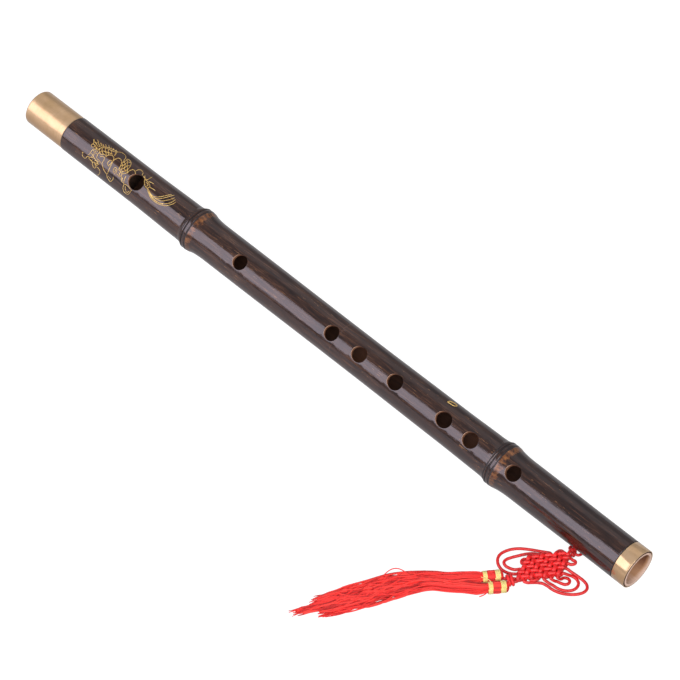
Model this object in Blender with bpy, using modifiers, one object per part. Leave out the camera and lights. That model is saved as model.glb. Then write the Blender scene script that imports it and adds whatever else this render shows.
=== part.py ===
# Transverse bamboo flute with a woven cord knot and two tassels, lying on a flat surface.
# The tube runs along X with its head at -X. The surface is Z 0, below the middle of the tube.
# Lengths are written in millimetres and multiplied by MM where they become metres.
import math

import bmesh
import bpy
import numpy as np

MM = 0.001

# Flute: sizes
FLUTE_LENGTH = 443.5
TURN_STEPS = 32
NODE_RADIUS = 12.8
NODE_POSITIONS = (-95.6, 127.8)
BORE_RADIUS = 8.6
MOUTH_RADIUS = 9.4
MOUTH_LENGTH = 12.0
HOLE_ROLL = 29.5
HOLE_WIDTH = 8.6
BLOW_HOLE = (-136.7, 10.2, 9.0)
MEMBRANE_HOLE = (-56.0, 8.8, 8.5)
FINGER_HOLES = ((12.4, 8.7), (32.6, 9.3), (58.5, 9.4), (93.2, 9.8), (111.9, 9.4), (141.6, 8.9))
TASSEL_HOLE_X = 188.0
TASSEL_HOLE_ROLLS = (189.5, 229.5)
TASSEL_HOLE_WIDTH = 4.0
HOLE_CUT = (3.0, 15.0)
TASSEL_HOLE_CUT = (6.5, 15.0)
STATION_STEP = 22
FIT_GAP = 0.3

# Metal ends and stopper: sizes
FERRULE_LENGTH = 29.0
FERRULE_RADIUS = 10.4
FERRULE_WALL = 0.4
RING_LENGTH = 8.0
RING_SETBACK = 0.2
RING_RADIUS = 11.25
RING_WALL = 0.45
STOPPER_SPAN = (-163.5, -145.5)

# Bamboo girth: distance of the station from the tail end, and the outer radius there
GIRTH = ((0, 11.2), (20, 11.2), (75, 11.42), (97, 11.5), (130, 11.15), (190, 10.92),
         (300, 11.2), (322, 11.15), (360, 10.7), (FLUTE_LENGTH, 10.55))
# Node form: distance towards the tail from the sheath scar's lip, and the share of the ridge's height
NODE_FORM = ((-2.4, 0.0), (-1.2, 0.45), (-0.4, 0.86), (0.5, 0.95), (1.1, 0.83), (1.6, 0.95),
             (2.4, 1.0), (3.2, 1.0), (3.6, 0.9), (4.2, 0.9), (5.2, 0.72), (6.6, 0.46), (8.6, 0.24),
             (11.5, 0.08), (14.0, 0.0))

# Tassel hinge and hanger cord
HINGE = (187.4, -9.1, 2.3)
HANGER_DIAMETER = 0.9
HANGER_STEP = 1.3

# Woven knot: seven strands one way and five the other, all one cord
CORD_DIAMETER = 1.25
STRANDS_DOWN = 7
STRANDS_ACROSS = 5
WEAVE_CELL = 3.4
WEAVE_TOP = (187.0, -12.2)
WEAVE_HEADINGS = (-70.0, -130.0)
WEAVE_RISE = 1.3
WEAVE_SHARPNESS = 2.0
POINTS_PER_CELL = 4
BODY_HEIGHT = 3.25
BODY_TILT = 0.12
LOOP_HEIGHT = 1.0
LOOP_STEP = 1.9
EAR_STEP = 1.2
EYE_RADIUS = 1.48
EYE_STEP = 0.95
EYE_SPAN = (188.75, 186.2)

# Lower knot and tassels. Their own axes run along the tassel and to its right.
TASSEL_HEADING = -129.0
TASSEL_HEIGHT = 3.2
WRAP_TURNS = 1.75
WRAP_PITCH = 1.72
WRAP_START = 1.5
WRAP_RADIUS = 1.66
STRAND_SPREAD = 0.86
WRAP_POINTS = 24
HEAD_RADIUS = 3.2
HEAD_LENGTH = 10.3
HEAD_DOME = 1.25
HEAD_TOPS = ((-3.4, 6.5), (3.4, 4.6))
HEAD_STEPS = 20
BAND_CENTRES = (2.5, 9.0)
BAND_WIDTHS = (1.9, 1.8)
BAND_RADII = (3.05, 3.35)
GROOVE_RADIUS = 2.75
SKIRT_SIDES = 28
SKIRT_STATIONS = 17
SKIRT_FLUTES = 7
SKIRT_FLUTE_DEPTH = 0.16
SKIRT_GAP = 0.6
SKIRT_RAGGED = 3.0
# Pair of skirts: middle of the pair in plan, width of the pair, height of the bundle
SKIRT_ROUTE = ((167.9, -55.5, 13.2, 6.3), (161.5, -60.6, 12.8, 5.8), (154.8, -66.6, 12.0, 5.2),
               (147.0, -72.6, 11.2, 4.7), (141.3, -79.6, 13.2, 4.4), (136.0, -88.0, 16.0, 4.0),
               (131.0, -98.0, 17.2, 3.6), (125.5, -108.0, 17.8, 3.2), (120.0, -118.0, 17.4, 2.8),
               (115.6, -126.2, 14.5, 2.4))

HALF_LENGTH = FLUTE_LENGTH / 2
AXIS_HEIGHT = NODE_RADIUS * math.cos(math.pi / TURN_STEPS)


def clear_scene():
    for old in list(bpy.data.objects):
        bpy.data.objects.remove(old, do_unlink=True)


def make_collection(name):
    collection = bpy.data.collections.new(name)
    bpy.context.scene.collection.children.link(collection)
    return collection


def make_material(name, color, roughness, metallic=0.0):
    material = bpy.data.materials.new(name)
    material.use_nodes = True
    shader = material.node_tree.nodes["Principled BSDF"]
    shader.inputs["Base Color"].default_value = (*color, 1.0)
    shader.inputs["Roughness"].default_value = roughness
    shader.inputs["Metallic"].default_value = metallic
    return material


def add_object(name, data, collection, material=None, parent=None):
    obj = bpy.data.objects.new(name, data)
    collection.objects.link(obj)
    obj.parent = parent
    if material:
        data.materials.append(material)
    return obj


def move_to(collection, obj):
    for owner in list(obj.users_collection):
        owner.objects.unlink(obj)
    collection.objects.link(obj)


def add_empty(name, collection, location_mm, rotation_deg=(0, 0, 0)):
    empty = bpy.data.objects.new(name, None)
    collection.objects.link(empty)
    empty.location = [value * MM for value in location_mm]
    empty.rotation_euler = [math.radians(value) for value in rotation_deg]
    return empty


def smooth_shading(mesh, angle=35):
    mesh.shade_smooth()
    mesh.set_sharp_from_angle(angle=math.radians(angle))


def turned(name, profile, steps, collection, material, parent, closed=True):
    """Screw a profile of (radius, height) pairs, outer side first and downwards, about local Z."""
    mesh = bpy.data.meshes.new(name)
    points = [(radius * MM, 0.0, height * MM) for radius, height in profile]
    edges = [(index, index + 1) for index in range(len(points) - 1)]
    if closed:
        edges.append((len(points) - 1, 0))
    mesh.from_pydata(points, edges, [])
    obj = add_object(name, mesh, collection, material, parent)
    screw = obj.modifiers.new("Turn", "SCREW")
    screw.axis = "Z"
    screw.angle = 2 * math.pi
    screw.steps = steps
    screw.render_steps = steps
    screw.use_merge_vertices = True
    screw.merge_threshold = 0.00001
    screw.use_smooth_shade = True
    return obj


def cut(obj, cutter):
    boolean = obj.modifiers.new(cutter.name, "BOOLEAN")
    boolean.operation = "DIFFERENCE"
    boolean.solver = "EXACT"
    boolean.object = cutter
    cutter.hide_render = True
    cutter.display_type = "WIRE"


def cord(name, points, diameter, origin, collection, material, parent, sides, cyclic=False):
    """A tube along points in millimetres, stored relative to its origin."""
    curve = bpy.data.curves.new(name, "CURVE")
    curve.dimensions = "3D"
    curve.bevel_depth = diameter / 2 * MM
    curve.bevel_resolution = sides // 2 - 2
    curve.use_fill_caps = not cyclic
    spline = curve.splines.new("POLY")
    spline.points.add(len(points) - 1)
    for spline_point, point in zip(spline.points, points):
        place = [(value - start) * MM for value, start in zip(point, origin)]
        spline_point.co = (*place, 1.0)
    spline.use_cyclic_u = cyclic
    spline.use_smooth = True
    return add_object(name, curve, collection, material, parent)


def arc_lengths(points):
    steps = np.linalg.norm(np.diff(points, axis=0), axis=1)
    return np.concatenate([[0.0], np.cumsum(steps)])


def resample(points, places):
    along = arc_lengths(points)
    return np.column_stack([np.interp(places, along, points[:, axis]) for axis in range(points.shape[1])])


def smooth_curve(points, detail=24):
    """Centripetal Catmull-Rom curve through the points, finely sampled."""
    points = np.array(points, dtype=float)
    ends = np.vstack([2 * points[0] - points[1], points, 2 * points[-1] - points[-2]])
    fine = []
    for index in range(1, len(ends) - 2):
        p0, p1, p2, p3 = ends[index - 1:index + 3]
        t1 = math.sqrt(np.linalg.norm(p1 - p0))
        t2 = t1 + math.sqrt(np.linalg.norm(p2 - p1))
        t3 = t2 + math.sqrt(np.linalg.norm(p3 - p2))
        for t in np.linspace(t1, t2, detail, endpoint=False):
            a1 = p0 + (p1 - p0) * t / t1
            a2 = p1 + (p2 - p1) * (t - t1) / (t2 - t1)
            a3 = p2 + (p3 - p2) * (t - t2) / (t3 - t2)
            b1 = a1 + (a2 - a1) * t / t2
            b2 = a2 + (a3 - a2) * (t - t1) / (t3 - t1)
            fine.append(b1 + (b2 - b1) * (t - t1) / (t2 - t1))
    fine.append(points[-1])
    return np.array(fine)


def evenly(points, step):
    fine = smooth_curve(points)
    length = arc_lengths(fine)[-1]
    count = max(2, round(length / step))
    return resample(fine, np.linspace(0.0, length, count + 1))


def least_gap(points, diameter, skip):
    """Least clearance between stretches of a tube that lie further apart along it than skip."""
    length = arc_lengths(points)[-1]
    places = np.linspace(0.0, length, int(length / 0.25))
    fine = resample(points, places)
    least = length
    for index, place in enumerate(places):
        apart = fine[places - place > skip]
        if len(apart):
            least = min(least, np.linalg.norm(apart - fine[index], axis=1).min())
    return least - diameter


# Flute: shapes

def ease(share):
    return share * share * (3 - 2 * share)


def girth(x):
    """Outer radius of the bamboo without its nodes, at x from the middle of the flute."""
    distance = HALF_LENGTH - x
    for (near, near_radius), (far, far_radius) in zip(GIRTH, GIRTH[1:]):
        if distance <= far:
            return near_radius + (far_radius - near_radius) * ease((distance - near) / (far - near))
    return GIRTH[-1][1]


def outer_stations():
    """Stations of the bamboo's outside, with the two nodes' sharp lips and scars."""
    start = -HALF_LENGTH + FERRULE_LENGTH + FIT_GAP
    end = HALF_LENGTH - RING_SETBACK - RING_LENGTH - FIT_GAP
    stations = []
    spans = []
    reach_head, reach_tail = NODE_FORM[0][0], NODE_FORM[-1][0]
    edge = start
    for lip in NODE_POSITIONS:
        spans.append((edge, lip + reach_head))
        edge = lip + reach_tail
    spans.append((edge, end))
    for low, high in spans:
        count = round((high - low) / STATION_STEP)
        for index in range(count + 1):
            x = low + (high - low) * index / count
            stations.append((x, girth(x)))
    for lip in NODE_POSITIONS:
        for offset, share in NODE_FORM[1:-1]:
            x = lip + offset
            stations.append((x, girth(x) + (NODE_RADIUS - girth(x)) * share))
    return sorted(stations)


def round_cutter(name, x, roll, length, width, reach, collection):
    """Oval cutter through one wall, square to the tube's axis at the given roll from straight up."""
    bpy.ops.mesh.primitive_cylinder_add(vertices=24, radius=0.5, depth=1.0)
    cutter = bpy.context.object
    cutter.name = name
    for vertex in cutter.data.vertices:
        vertex.co.x *= length * MM
        vertex.co.y *= width * MM
        vertex.co.z *= (reach[1] - reach[0]) * MM
    angle = math.radians(roll)
    middle = (reach[0] + reach[1]) / 2
    cutter.location = (x * MM, -math.sin(angle) * middle * MM, (AXIS_HEIGHT + math.cos(angle) * middle) * MM)
    cutter.rotation_euler = (angle, 0, 0)
    move_to(collection, cutter)
    return cutter


def make_tube(collection, cutters, material, axis):
    head = -HALF_LENGTH + FERRULE_WALL + FIT_GAP
    head_seat = FERRULE_RADIUS - FERRULE_WALL - FIT_GAP
    tail_seat = RING_RADIUS - RING_WALL - FIT_GAP
    outside = outer_stations()
    profile = [(tail_seat, HALF_LENGTH), (tail_seat, outside[-1][0])]
    profile += [(radius, x) for x, radius in reversed(outside)]
    profile += [(head_seat, outside[0][0]), (head_seat, head)]
    bore_stations = np.linspace(head, HALF_LENGTH - MOUTH_LENGTH, 8)
    profile += [(BORE_RADIUS, x) for x in bore_stations]
    profile += [(BORE_RADIUS + 0.25, HALF_LENGTH - MOUTH_LENGTH * 0.6), (MOUTH_RADIUS, HALF_LENGTH)]
    tube = turned("bamboo_tube", profile, TURN_STEPS, collection, material, axis)
    tube.rotation_euler.z = math.pi / TURN_STEPS
    holes = [("blow_hole", *BLOW_HOLE), ("membrane_hole", *MEMBRANE_HOLE)]
    for number, (x, length) in enumerate(FINGER_HOLES, 1):
        holes.append((f"finger_hole_{number}", x, length, HOLE_WIDTH))
    for name, x, length, width in holes:
        cut(tube, round_cutter(name, x, HOLE_ROLL, length, width, HOLE_CUT, cutters))
    width = TASSEL_HOLE_WIDTH
    for number, roll in enumerate(TASSEL_HOLE_ROLLS, 1):
        name = f"tassel_hole_{number}"
        cut(tube, round_cutter(name, TASSEL_HOLE_X, roll, width, width, TASSEL_HOLE_CUT, cutters))
    return tube


def make_ferrule(collection, material, axis):
    """Drawn metal sleeve whose rounded end turns in over the bamboo's end."""
    end = -HALF_LENGTH
    top = end + FERRULE_LENGTH
    outer = FERRULE_RADIUS
    inner = outer - FERRULE_WALL
    lip = 8.9
    profile = [(outer - 0.12, top), (outer, top - 0.25), (outer, end + 1.4), (outer - 0.1, end + 0.75),
               (outer - 0.32, end + 0.3), (outer - 0.6, end + 0.06), (outer - 0.8, end), (lip, end),
               (lip, end + FERRULE_WALL), (inner, end + FERRULE_WALL), (inner, top)]
    ferrule = turned("head_ferrule", profile, TURN_STEPS, collection, material, axis)
    ferrule.rotation_euler.z = math.pi / TURN_STEPS
    return ferrule


def make_tail_ring(collection, material, axis):
    top = HALF_LENGTH - RING_SETBACK
    bottom = top - RING_LENGTH
    outer = RING_RADIUS
    inner = outer - RING_WALL
    profile = [(inner + 0.1, top), (outer - 0.15, top), (outer, top - 0.2), (outer, bottom + 0.2),
               (outer - 0.12, bottom), (inner, bottom), (inner, top - 0.1)]
    ring = turned("tail_ring", profile, TURN_STEPS, collection, material, axis)
    ring.rotation_euler.z = math.pi / TURN_STEPS
    return ring


def make_stopper(collection, material, axis):
    low, high = STOPPER_SPAN
    radius = BORE_RADIUS * math.cos(math.pi / TURN_STEPS) - FIT_GAP
    bpy.ops.mesh.primitive_cylinder_add(vertices=24, radius=radius * MM, depth=(high - low) * MM)
    stopper = bpy.context.object
    stopper.name = "cork_stopper"
    stopper.parent = axis
    stopper.location = (0, 0, (low + high) / 2 * MM)
    stopper.data.materials.append(material)
    bevel = stopper.modifiers.new("Eased edges", "BEVEL")
    bevel.width = 0.6 * MM
    bevel.segments = 1
    bevel.limit_method = "ANGLE"
    move_to(collection, stopper)
    smooth_shading(stopper.data)
    return stopper


def bore_point(x, roll, radius):
    angle = math.radians(roll)
    return (x, -math.sin(angle) * radius, AXIS_HEIGHT + math.cos(angle) * radius)


def hanger_route():
    """Closed loop of cord: a bar for the knot's eye, then under the tube and through its two small holes."""
    x, y, z = HINGE
    near, far = TASSEL_HOLE_ROLLS
    hole = TASSEL_HOLE_X
    leg_out = [(x - 2.3, y, z), (x - 3.0, y + 0.4, z), (x - 3.3, y + 1.2, z - 0.15),
               (x - 3.2, y + 2.6, z - 0.7), (x - 2.7, y + 4.6, 1.0), (x - 1.6, y + 7.0, 0.76),
               (x - 0.6, y + 9.4, 0.78), (x + 0.2, y + 10.5, 1.15)]
    places_inside = [(near - 1.0, 10.6), (near, 9.2), (near + 2.5, 8.0), (near + 9, 7.55),
                     (near + 17, 7.5), (near + 25, 7.55), (far - 7, 7.7), (far - 2.5, 8.3),
                     (far, 9.4), (far, 10.8), (far, 12.0)]
    inside = [bore_point(hole, roll, radius) for roll, radius in places_inside]
    leg_back = [(hole + 0.3, 9.8, 4.1), (hole + 0.5, 9.9, 2.7), (hole + 0.8, 9.0, 1.4),
                (hole + 1.2, 7.2, 0.8), (hole + 1.7, 4.4, 0.7), (x + 2.8, 1.4, 0.7),
                (x + 3.1, -1.6, 0.76), (x + 3.3, y + 4.6, 1.0), (x + 3.4, y + 2.6, z - 0.7),
                (x + 3.3, y + 1.2, z - 0.15), (x + 3.0, y + 0.4, z), (x + 2.3, y, z), (x, y, z)]
    loop = leg_out + inside + leg_back
    return evenly([(x, y, z)] + loop, HANGER_STEP)[:-1]


# Knot: shapes

def unit(heading_deg):
    angle = math.radians(heading_deg)
    return np.array([math.cos(angle), math.sin(angle)])


CELL_DOWN = WEAVE_CELL * unit(WEAVE_HEADINGS[0])
CELL_ACROSS = WEAVE_CELL * unit(WEAVE_HEADINGS[1])
BODY_CENTRE = WEAVE_TOP + (STRANDS_ACROSS - 1) / 2 * CELL_DOWN + (STRANDS_DOWN - 1) / 2 * CELL_ACROSS
BODY_SIDE = (CELL_DOWN - CELL_ACROSS) / np.linalg.norm(CELL_DOWN - CELL_ACROSS)
BODY_NORMAL = np.array([-BODY_TILT * BODY_SIDE[0], -BODY_TILT * BODY_SIDE[1], 1.0])
BODY_NORMAL = BODY_NORMAL / np.linalg.norm(BODY_NORMAL)
TASSEL_ALONG = unit(TASSEL_HEADING)
TASSEL_RIGHT = unit(TASSEL_HEADING + 90)


def body_point(down, across, lift=0.0):
    """A point of the woven body, counted in cells from its top corner."""
    plan = WEAVE_TOP + down * CELL_DOWN + across * CELL_ACROSS
    height = BODY_HEIGHT + BODY_TILT * float(np.dot(plan - BODY_CENTRE, BODY_SIDE))
    return np.array([plan[0], plan[1], height]) + lift * BODY_NORMAL


def tassel_point(right, along, height):
    """A point counted from the woven body's lower corner, where the two ends of its cord leave it."""
    last_down, last_across = STRANDS_ACROSS - 1, STRANDS_DOWN - 1
    start = (body_point(last_down + 0.5, last_across) + body_point(last_down, last_across + 0.5)) / 2
    plan = start[:2] + right * TASSEL_RIGHT + along * TASSEL_ALONG
    return np.array([plan[0], plan[1], height])


def over_under(cells):
    swing = WEAVE_SHARPNESS * math.cos(math.pi * cells)
    return WEAVE_RISE * math.sin(math.pi / 2 * max(-1.0, min(1.0, swing)))


def strand(side, index):
    """Points of one strand, from its top or right end (sides a and c) to its other end (b and d)."""
    runs_down = side in "ab"
    cells = STRANDS_ACROSS if runs_down else STRANDS_DOWN
    steps = range(cells * POINTS_PER_CELL)
    places = [-0.5, *(-0.5 + (step + 0.5) / POINTS_PER_CELL for step in steps), cells - 0.5]
    sign = 1 if index % 2 == 0 else -1
    points = []
    for place in places:
        lift = sign * over_under(place)
        points.append(body_point(place, index, lift) if runs_down else body_point(index, place, -lift))
    return points if side in "ac" else points[::-1]


def strand_end(name):
    index = int(name[1:])
    places = {"a": (-0.5, index), "b": (STRANDS_ACROSS - 0.5, index),
              "c": (index, -0.5), "d": (index, STRANDS_DOWN - 0.5)}
    return body_point(*places[name[0]])


def end_heading(name):
    plan = {"a": -CELL_DOWN, "b": CELL_DOWN, "c": -CELL_ACROSS, "d": CELL_ACROSS}[name[0]] / WEAVE_CELL
    return np.array([plan[0], plan[1], 0.0])


# The strands in the order in which the cord runs through them, each by the end where it enters
CORD_ORDER = ("b6", "a5", "c3", "a3", "b4", "d2", "c1", "d0", "a0", "b1", "a2", "c4")
OTHER_END = {"a": "b", "b": "a", "c": "d", "d": "c"}
# Loops that stand out of the body, seen from above, from the first end to the second
LOOPS = {
    ("c3", "b5"): ((195.0, -18.6), (199.8, -17.8), (204.2, -19.0), (206.2, -22.5), (205.0, -27.0),
                   (201.3, -31.2), (196.6, -34.0), (192.3, -35.0), (189.6, -35.4), (187.6, -36.6),
                   (185.6, -38.5), (183.3, -40.6)),
    ("c4", "b2"): ((195.5, -21.6), (198.8, -21.2), (200.9, -23.3), (200.9, -26.3), (198.3, -29.4),
                   (194.8, -31.5), (191.6, -32.7), (189.8, -33.4)),
    ("b0", "b1"): ((194.0, -26.2), (195.3, -24.9), (197.0, -25.5), (197.2, -27.2), (195.6, -28.5),
                   (192.7, -29.7)),
    ("c1", "c2"): ((190.7, -12.3), (192.0, -12.2), (192.8, -13.7), (192.2, -15.6)),
    ("a3", "d3"): ((176.6, -18.8), (172.4, -20.7), (167.3, -23.6), (163.2, -27.4), (160.8, -31.3),
                   (160.3, -34.9), (161.8, -38.4), (165.3, -41.0), (169.4, -41.8), (173.3, -41.1)),
    ("a4", "d2"): ((174.6, -21.7), (172.0, -23.0), (170.2, -25.4), (168.6, -28.5), (166.5, -31.5),
                   (165.0, -34.3), (165.0, -36.8), (166.9, -38.2), (169.8, -38.1), (172.6, -37.4)),
}
EAR_HEIGHTS = {("a1", "a2"): 0.8, ("a5", "a6"): 0.7, ("d0", "d1"): 0.9, ("b3", "b4"): 0.75}
SHORT_LOOP = 14.0
LOOP_LEAD = 0.6
SAG_SHARE = 0.22


def eye_route():
    """From the low end at the top corner round the hanger's bar and back over it."""
    x_start, x_end = EYE_SPAN
    angles = range(-175, 96, 30)
    points = [strand_end("c0")]
    for angle in angles:
        share = (angle - angles[0]) / 290
        points.append((x_start + (x_end - x_start) * share,
                       HINGE[1] + EYE_RADIUS * math.cos(math.radians(angle)),
                       HINGE[2] + EYE_RADIUS * math.sin(math.radians(angle))))
    points.append(strand_end("a0"))
    return evenly(points, EYE_STEP)


def ear_route(first, second, tall):
    start, end = strand_end(first), strand_end(second)
    half = np.linalg.norm(end - start) / 2
    along = (end - start) / (2 * half)
    out = end_heading(first) - along * np.dot(end_heading(first), along)
    out = out / np.linalg.norm(out)
    middle = (start + end) / 2
    shoulders = [middle + half * (side * 0.8 * along + 0.58 * tall * out) for side in (-1, 1)]
    return evenly([start, shoulders[0], middle + half * tall * out, shoulders[1], end], EAR_STEP)


def loop_route(first, second):
    """A loop whose ends leave the body straight, and which sinks to the surface between them."""
    start, end = strand_end(first), strand_end(second)
    flat = [(x, y, 0.0) for x, y in LOOPS[first, second]]
    leaving = start + LOOP_LEAD * end_heading(first)
    entering = end + LOOP_LEAD * end_heading(second)
    points = np.array([start, leaving, *flat, entering, end])
    along = arc_lengths(points[:, :2])
    for point, place in zip(points[1:-1], along[1:-1]):
        share = place / along[-1]
        level = start[2] + (end[2] - start[2]) * share
        sunk = 0.0 if along[-1] < SHORT_LOOP else ease(min(1.0, min(share, 1 - share) / SAG_SHARE))
        point[2] = level + (LOOP_HEIGHT - level) * sunk
    return evenly(points, LOOP_STEP)


def join(first, second):
    for start, end in ((first, second), (second, first)):
        if (start, end) == ("c0", "a0"):
            route = eye_route()
        elif (start, end) in LOOPS:
            route = loop_route(start, end)
        elif (start, end) in EAR_HEIGHTS:
            route = ear_route(start, end, EAR_HEIGHTS[start, end])
        else:
            continue
        return route if start == first else route[::-1]


def knot_route():
    """The whole knot: one cord through twelve strands, their loops, ears and eye, and on to both tassels."""
    side = STRAND_SPREAD
    right_places = ((1.0, 4.52), (0.9, 4.0), (side, 3.4), (side, 1.6), (1.05, 0.75), (1.15, 0.1))
    left_places = ((-side, 1.4), (-side, 3.0), (-0.88, 4.4), (-1.15, 5.3), (-1.6, 6.38))
    right_end = [tassel_point(*place, TASSEL_HEIGHT) for place in right_places] + [strand_end("b6")]
    left_end = [strand_end("d4")] + [tassel_point(*place, TASSEL_HEIGHT) for place in left_places]
    route = list(evenly(right_end, EAR_STEP))
    for place, name in enumerate(CORD_ORDER):
        route += strand(name[0], int(name[1:]))[1:]
        if place + 1 < len(CORD_ORDER):
            leaves = OTHER_END[name[0]] + name[1:]
            route += list(join(leaves, CORD_ORDER[place + 1]))[1:]
    route += list(evenly(left_end, EAR_STEP))[1:]
    return np.array(route)


def wrap_route():
    """The lower knot: cord wound round the two strands, starting below them and ending on their left."""
    count = round(WRAP_TURNS * WRAP_POINTS)
    points = []
    for index in range(count + 1):
        turn = index / WRAP_POINTS
        angle = 2 * math.pi * (turn - 0.25)
        right = WRAP_RADIUS * math.cos(angle) + STRAND_SPREAD * max(-1.0, min(1.0, 3 * math.cos(angle)))
        height = TASSEL_HEIGHT + WRAP_RADIUS * math.sin(angle)
        points.append(tassel_point(right, WRAP_START + WRAP_PITCH * turn, height))
    return np.array(points)


# Tassels: shapes

def head_profile():
    """Wrapped head: a low dome, a groove for each band, and a straight end against the skirt."""
    profile = []
    for step in range(6):
        angle = math.pi / 2 * step / 5
        profile.append((HEAD_RADIUS * math.sin(angle), -HEAD_DOME * (1 - math.cos(angle))))
    for centre, width in zip(BAND_CENTRES, BAND_WIDTHS):
        groove = width / 2 + FIT_GAP
        if centre - groove > HEAD_DOME + 0.05:
            profile.append((HEAD_RADIUS, -(centre - groove)))
        profile += [(GROOVE_RADIUS, -(centre - groove)), (GROOVE_RADIUS, -(centre + groove)),
                    (HEAD_RADIUS, -(centre + groove))]
    profile += [(HEAD_RADIUS, -HEAD_LENGTH), (0.0, -HEAD_LENGTH)]
    return profile


def place_along_tassel(obj, right, along):
    point = tassel_point(right, along, TASSEL_HEIGHT)
    obj.location = [(value - start) * MM for value, start in zip(point, HINGE)]
    obj.rotation_euler = (0, math.pi / 2, math.radians(TASSEL_HEADING + 180))


def make_heads(collection, cord_material, band_material, hinge):
    for side, (right, along) in zip(("left", "right"), HEAD_TOPS):
        name = f"tassel_head_{side}"
        head = turned(name, head_profile(), HEAD_STEPS, collection, cord_material, hinge, closed=False)
        place_along_tassel(head, right, along)
        for level, centre, width in zip(("upper", "lower"), BAND_CENTRES, BAND_WIDTHS):
            inner, outer = BAND_RADII
            half = width / 2
            profile = [(outer - 0.12, half), (outer, half - 0.3), (outer, 0.3 - half), (outer - 0.12, -half),
                       (inner, -half), (inner, half)]
            name = f"tassel_band_{side}_{level}"
            band = turned(name, profile, HEAD_STEPS, collection, band_material, hinge)
            place_along_tassel(band, right, along + centre)


def skirt_section(side, width, height, share):
    """One skirt's outline across the bundle: round at the head, then flatter and fluted."""
    half_width = (width / 2 - SKIRT_GAP / 2) / 2
    middle = side * (SKIRT_GAP / 2 + half_width)
    squareness = 2.0 + 0.7 * share
    depth = SKIRT_FLUTE_DEPTH * min(1.0, share * 5)
    section = []
    for index in range(SKIRT_SIDES):
        angle = 2 * math.pi * index / SKIRT_SIDES
        flute = 1 - depth * (0.5 - 0.5 * math.cos(angle * SKIRT_FLUTES))
        across = math.copysign(abs(math.cos(angle)) ** (2 / squareness), math.cos(angle))
        up = math.copysign(abs(math.sin(angle)) ** (2 / squareness), math.sin(angle))
        section.append((middle + half_width * flute * across, height / 2 * (1 + flute * up)))
    return section


def make_skirt(name, side, collection, material, hinge):
    """Loft of fluted sections along the tassel, with ragged ends of the flutes."""
    route = smooth_curve(SKIRT_ROUTE)
    length = arc_lengths(route[:, :2])[-1]
    along = arc_lengths(route[:, :2])
    places = np.linspace(0.0, length, SKIRT_STATIONS)
    stations = np.column_stack([np.interp(places, along, route[:, axis]) for axis in range(4)])
    tangents = np.gradient(stations[:, :2], axis=0)
    tangents[0] = TASSEL_ALONG
    tangents = tangents / np.linalg.norm(tangents, axis=1)[:, None]
    tops = [tassel_point(right, top + HEAD_LENGTH + FIT_GAP, 0.0)[:2] for right, top in HEAD_TOPS]
    offset = np.dot(tops[0 if side < 0 else 1] - stations[0, :2], TASSEL_ALONG)
    mesh = bmesh.new()
    rings = []
    for place, station, tangent in zip(places, stations, tangents):
        share = place / length
        across = np.array([-tangent[1], tangent[0]])
        lead = offset * max(0.0, 1 - share * 6)
        ring = []
        for index, (right, height) in enumerate(skirt_section(side, station[2], station[3], share)):
            ragged = 0.0
            if place == places[-1]:
                ragged = SKIRT_RAGGED * math.sin(2.4 * index + side)
            plan = station[:2] + across * right + tangent * (lead + ragged)
            vertex = (plan[0] - HINGE[0], plan[1] - HINGE[1], height - HINGE[2])
            ring.append(mesh.verts.new([value * MM for value in vertex]))
        rings.append(ring)
    for lower, upper in zip(rings, rings[1:]):
        for index in range(SKIRT_SIDES):
            following = (index + 1) % SKIRT_SIDES
            mesh.faces.new((lower[index], lower[following], upper[following], upper[index]))
    for ring in (rings[0], rings[-1]):
        centre = mesh.verts.new(sum((vertex.co for vertex in ring), ring[0].co * 0) / SKIRT_SIDES)
        for index in range(SKIRT_SIDES):
            mesh.faces.new((ring[index], ring[(index + 1) % SKIRT_SIDES], centre))
    bmesh.ops.recalc_face_normals(mesh, faces=mesh.faces)
    data = bpy.data.meshes.new(name)
    mesh.to_mesh(data)
    mesh.free()
    smooth_shading(data, 60)
    return add_object(name, data, collection, material, hinge)


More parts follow.
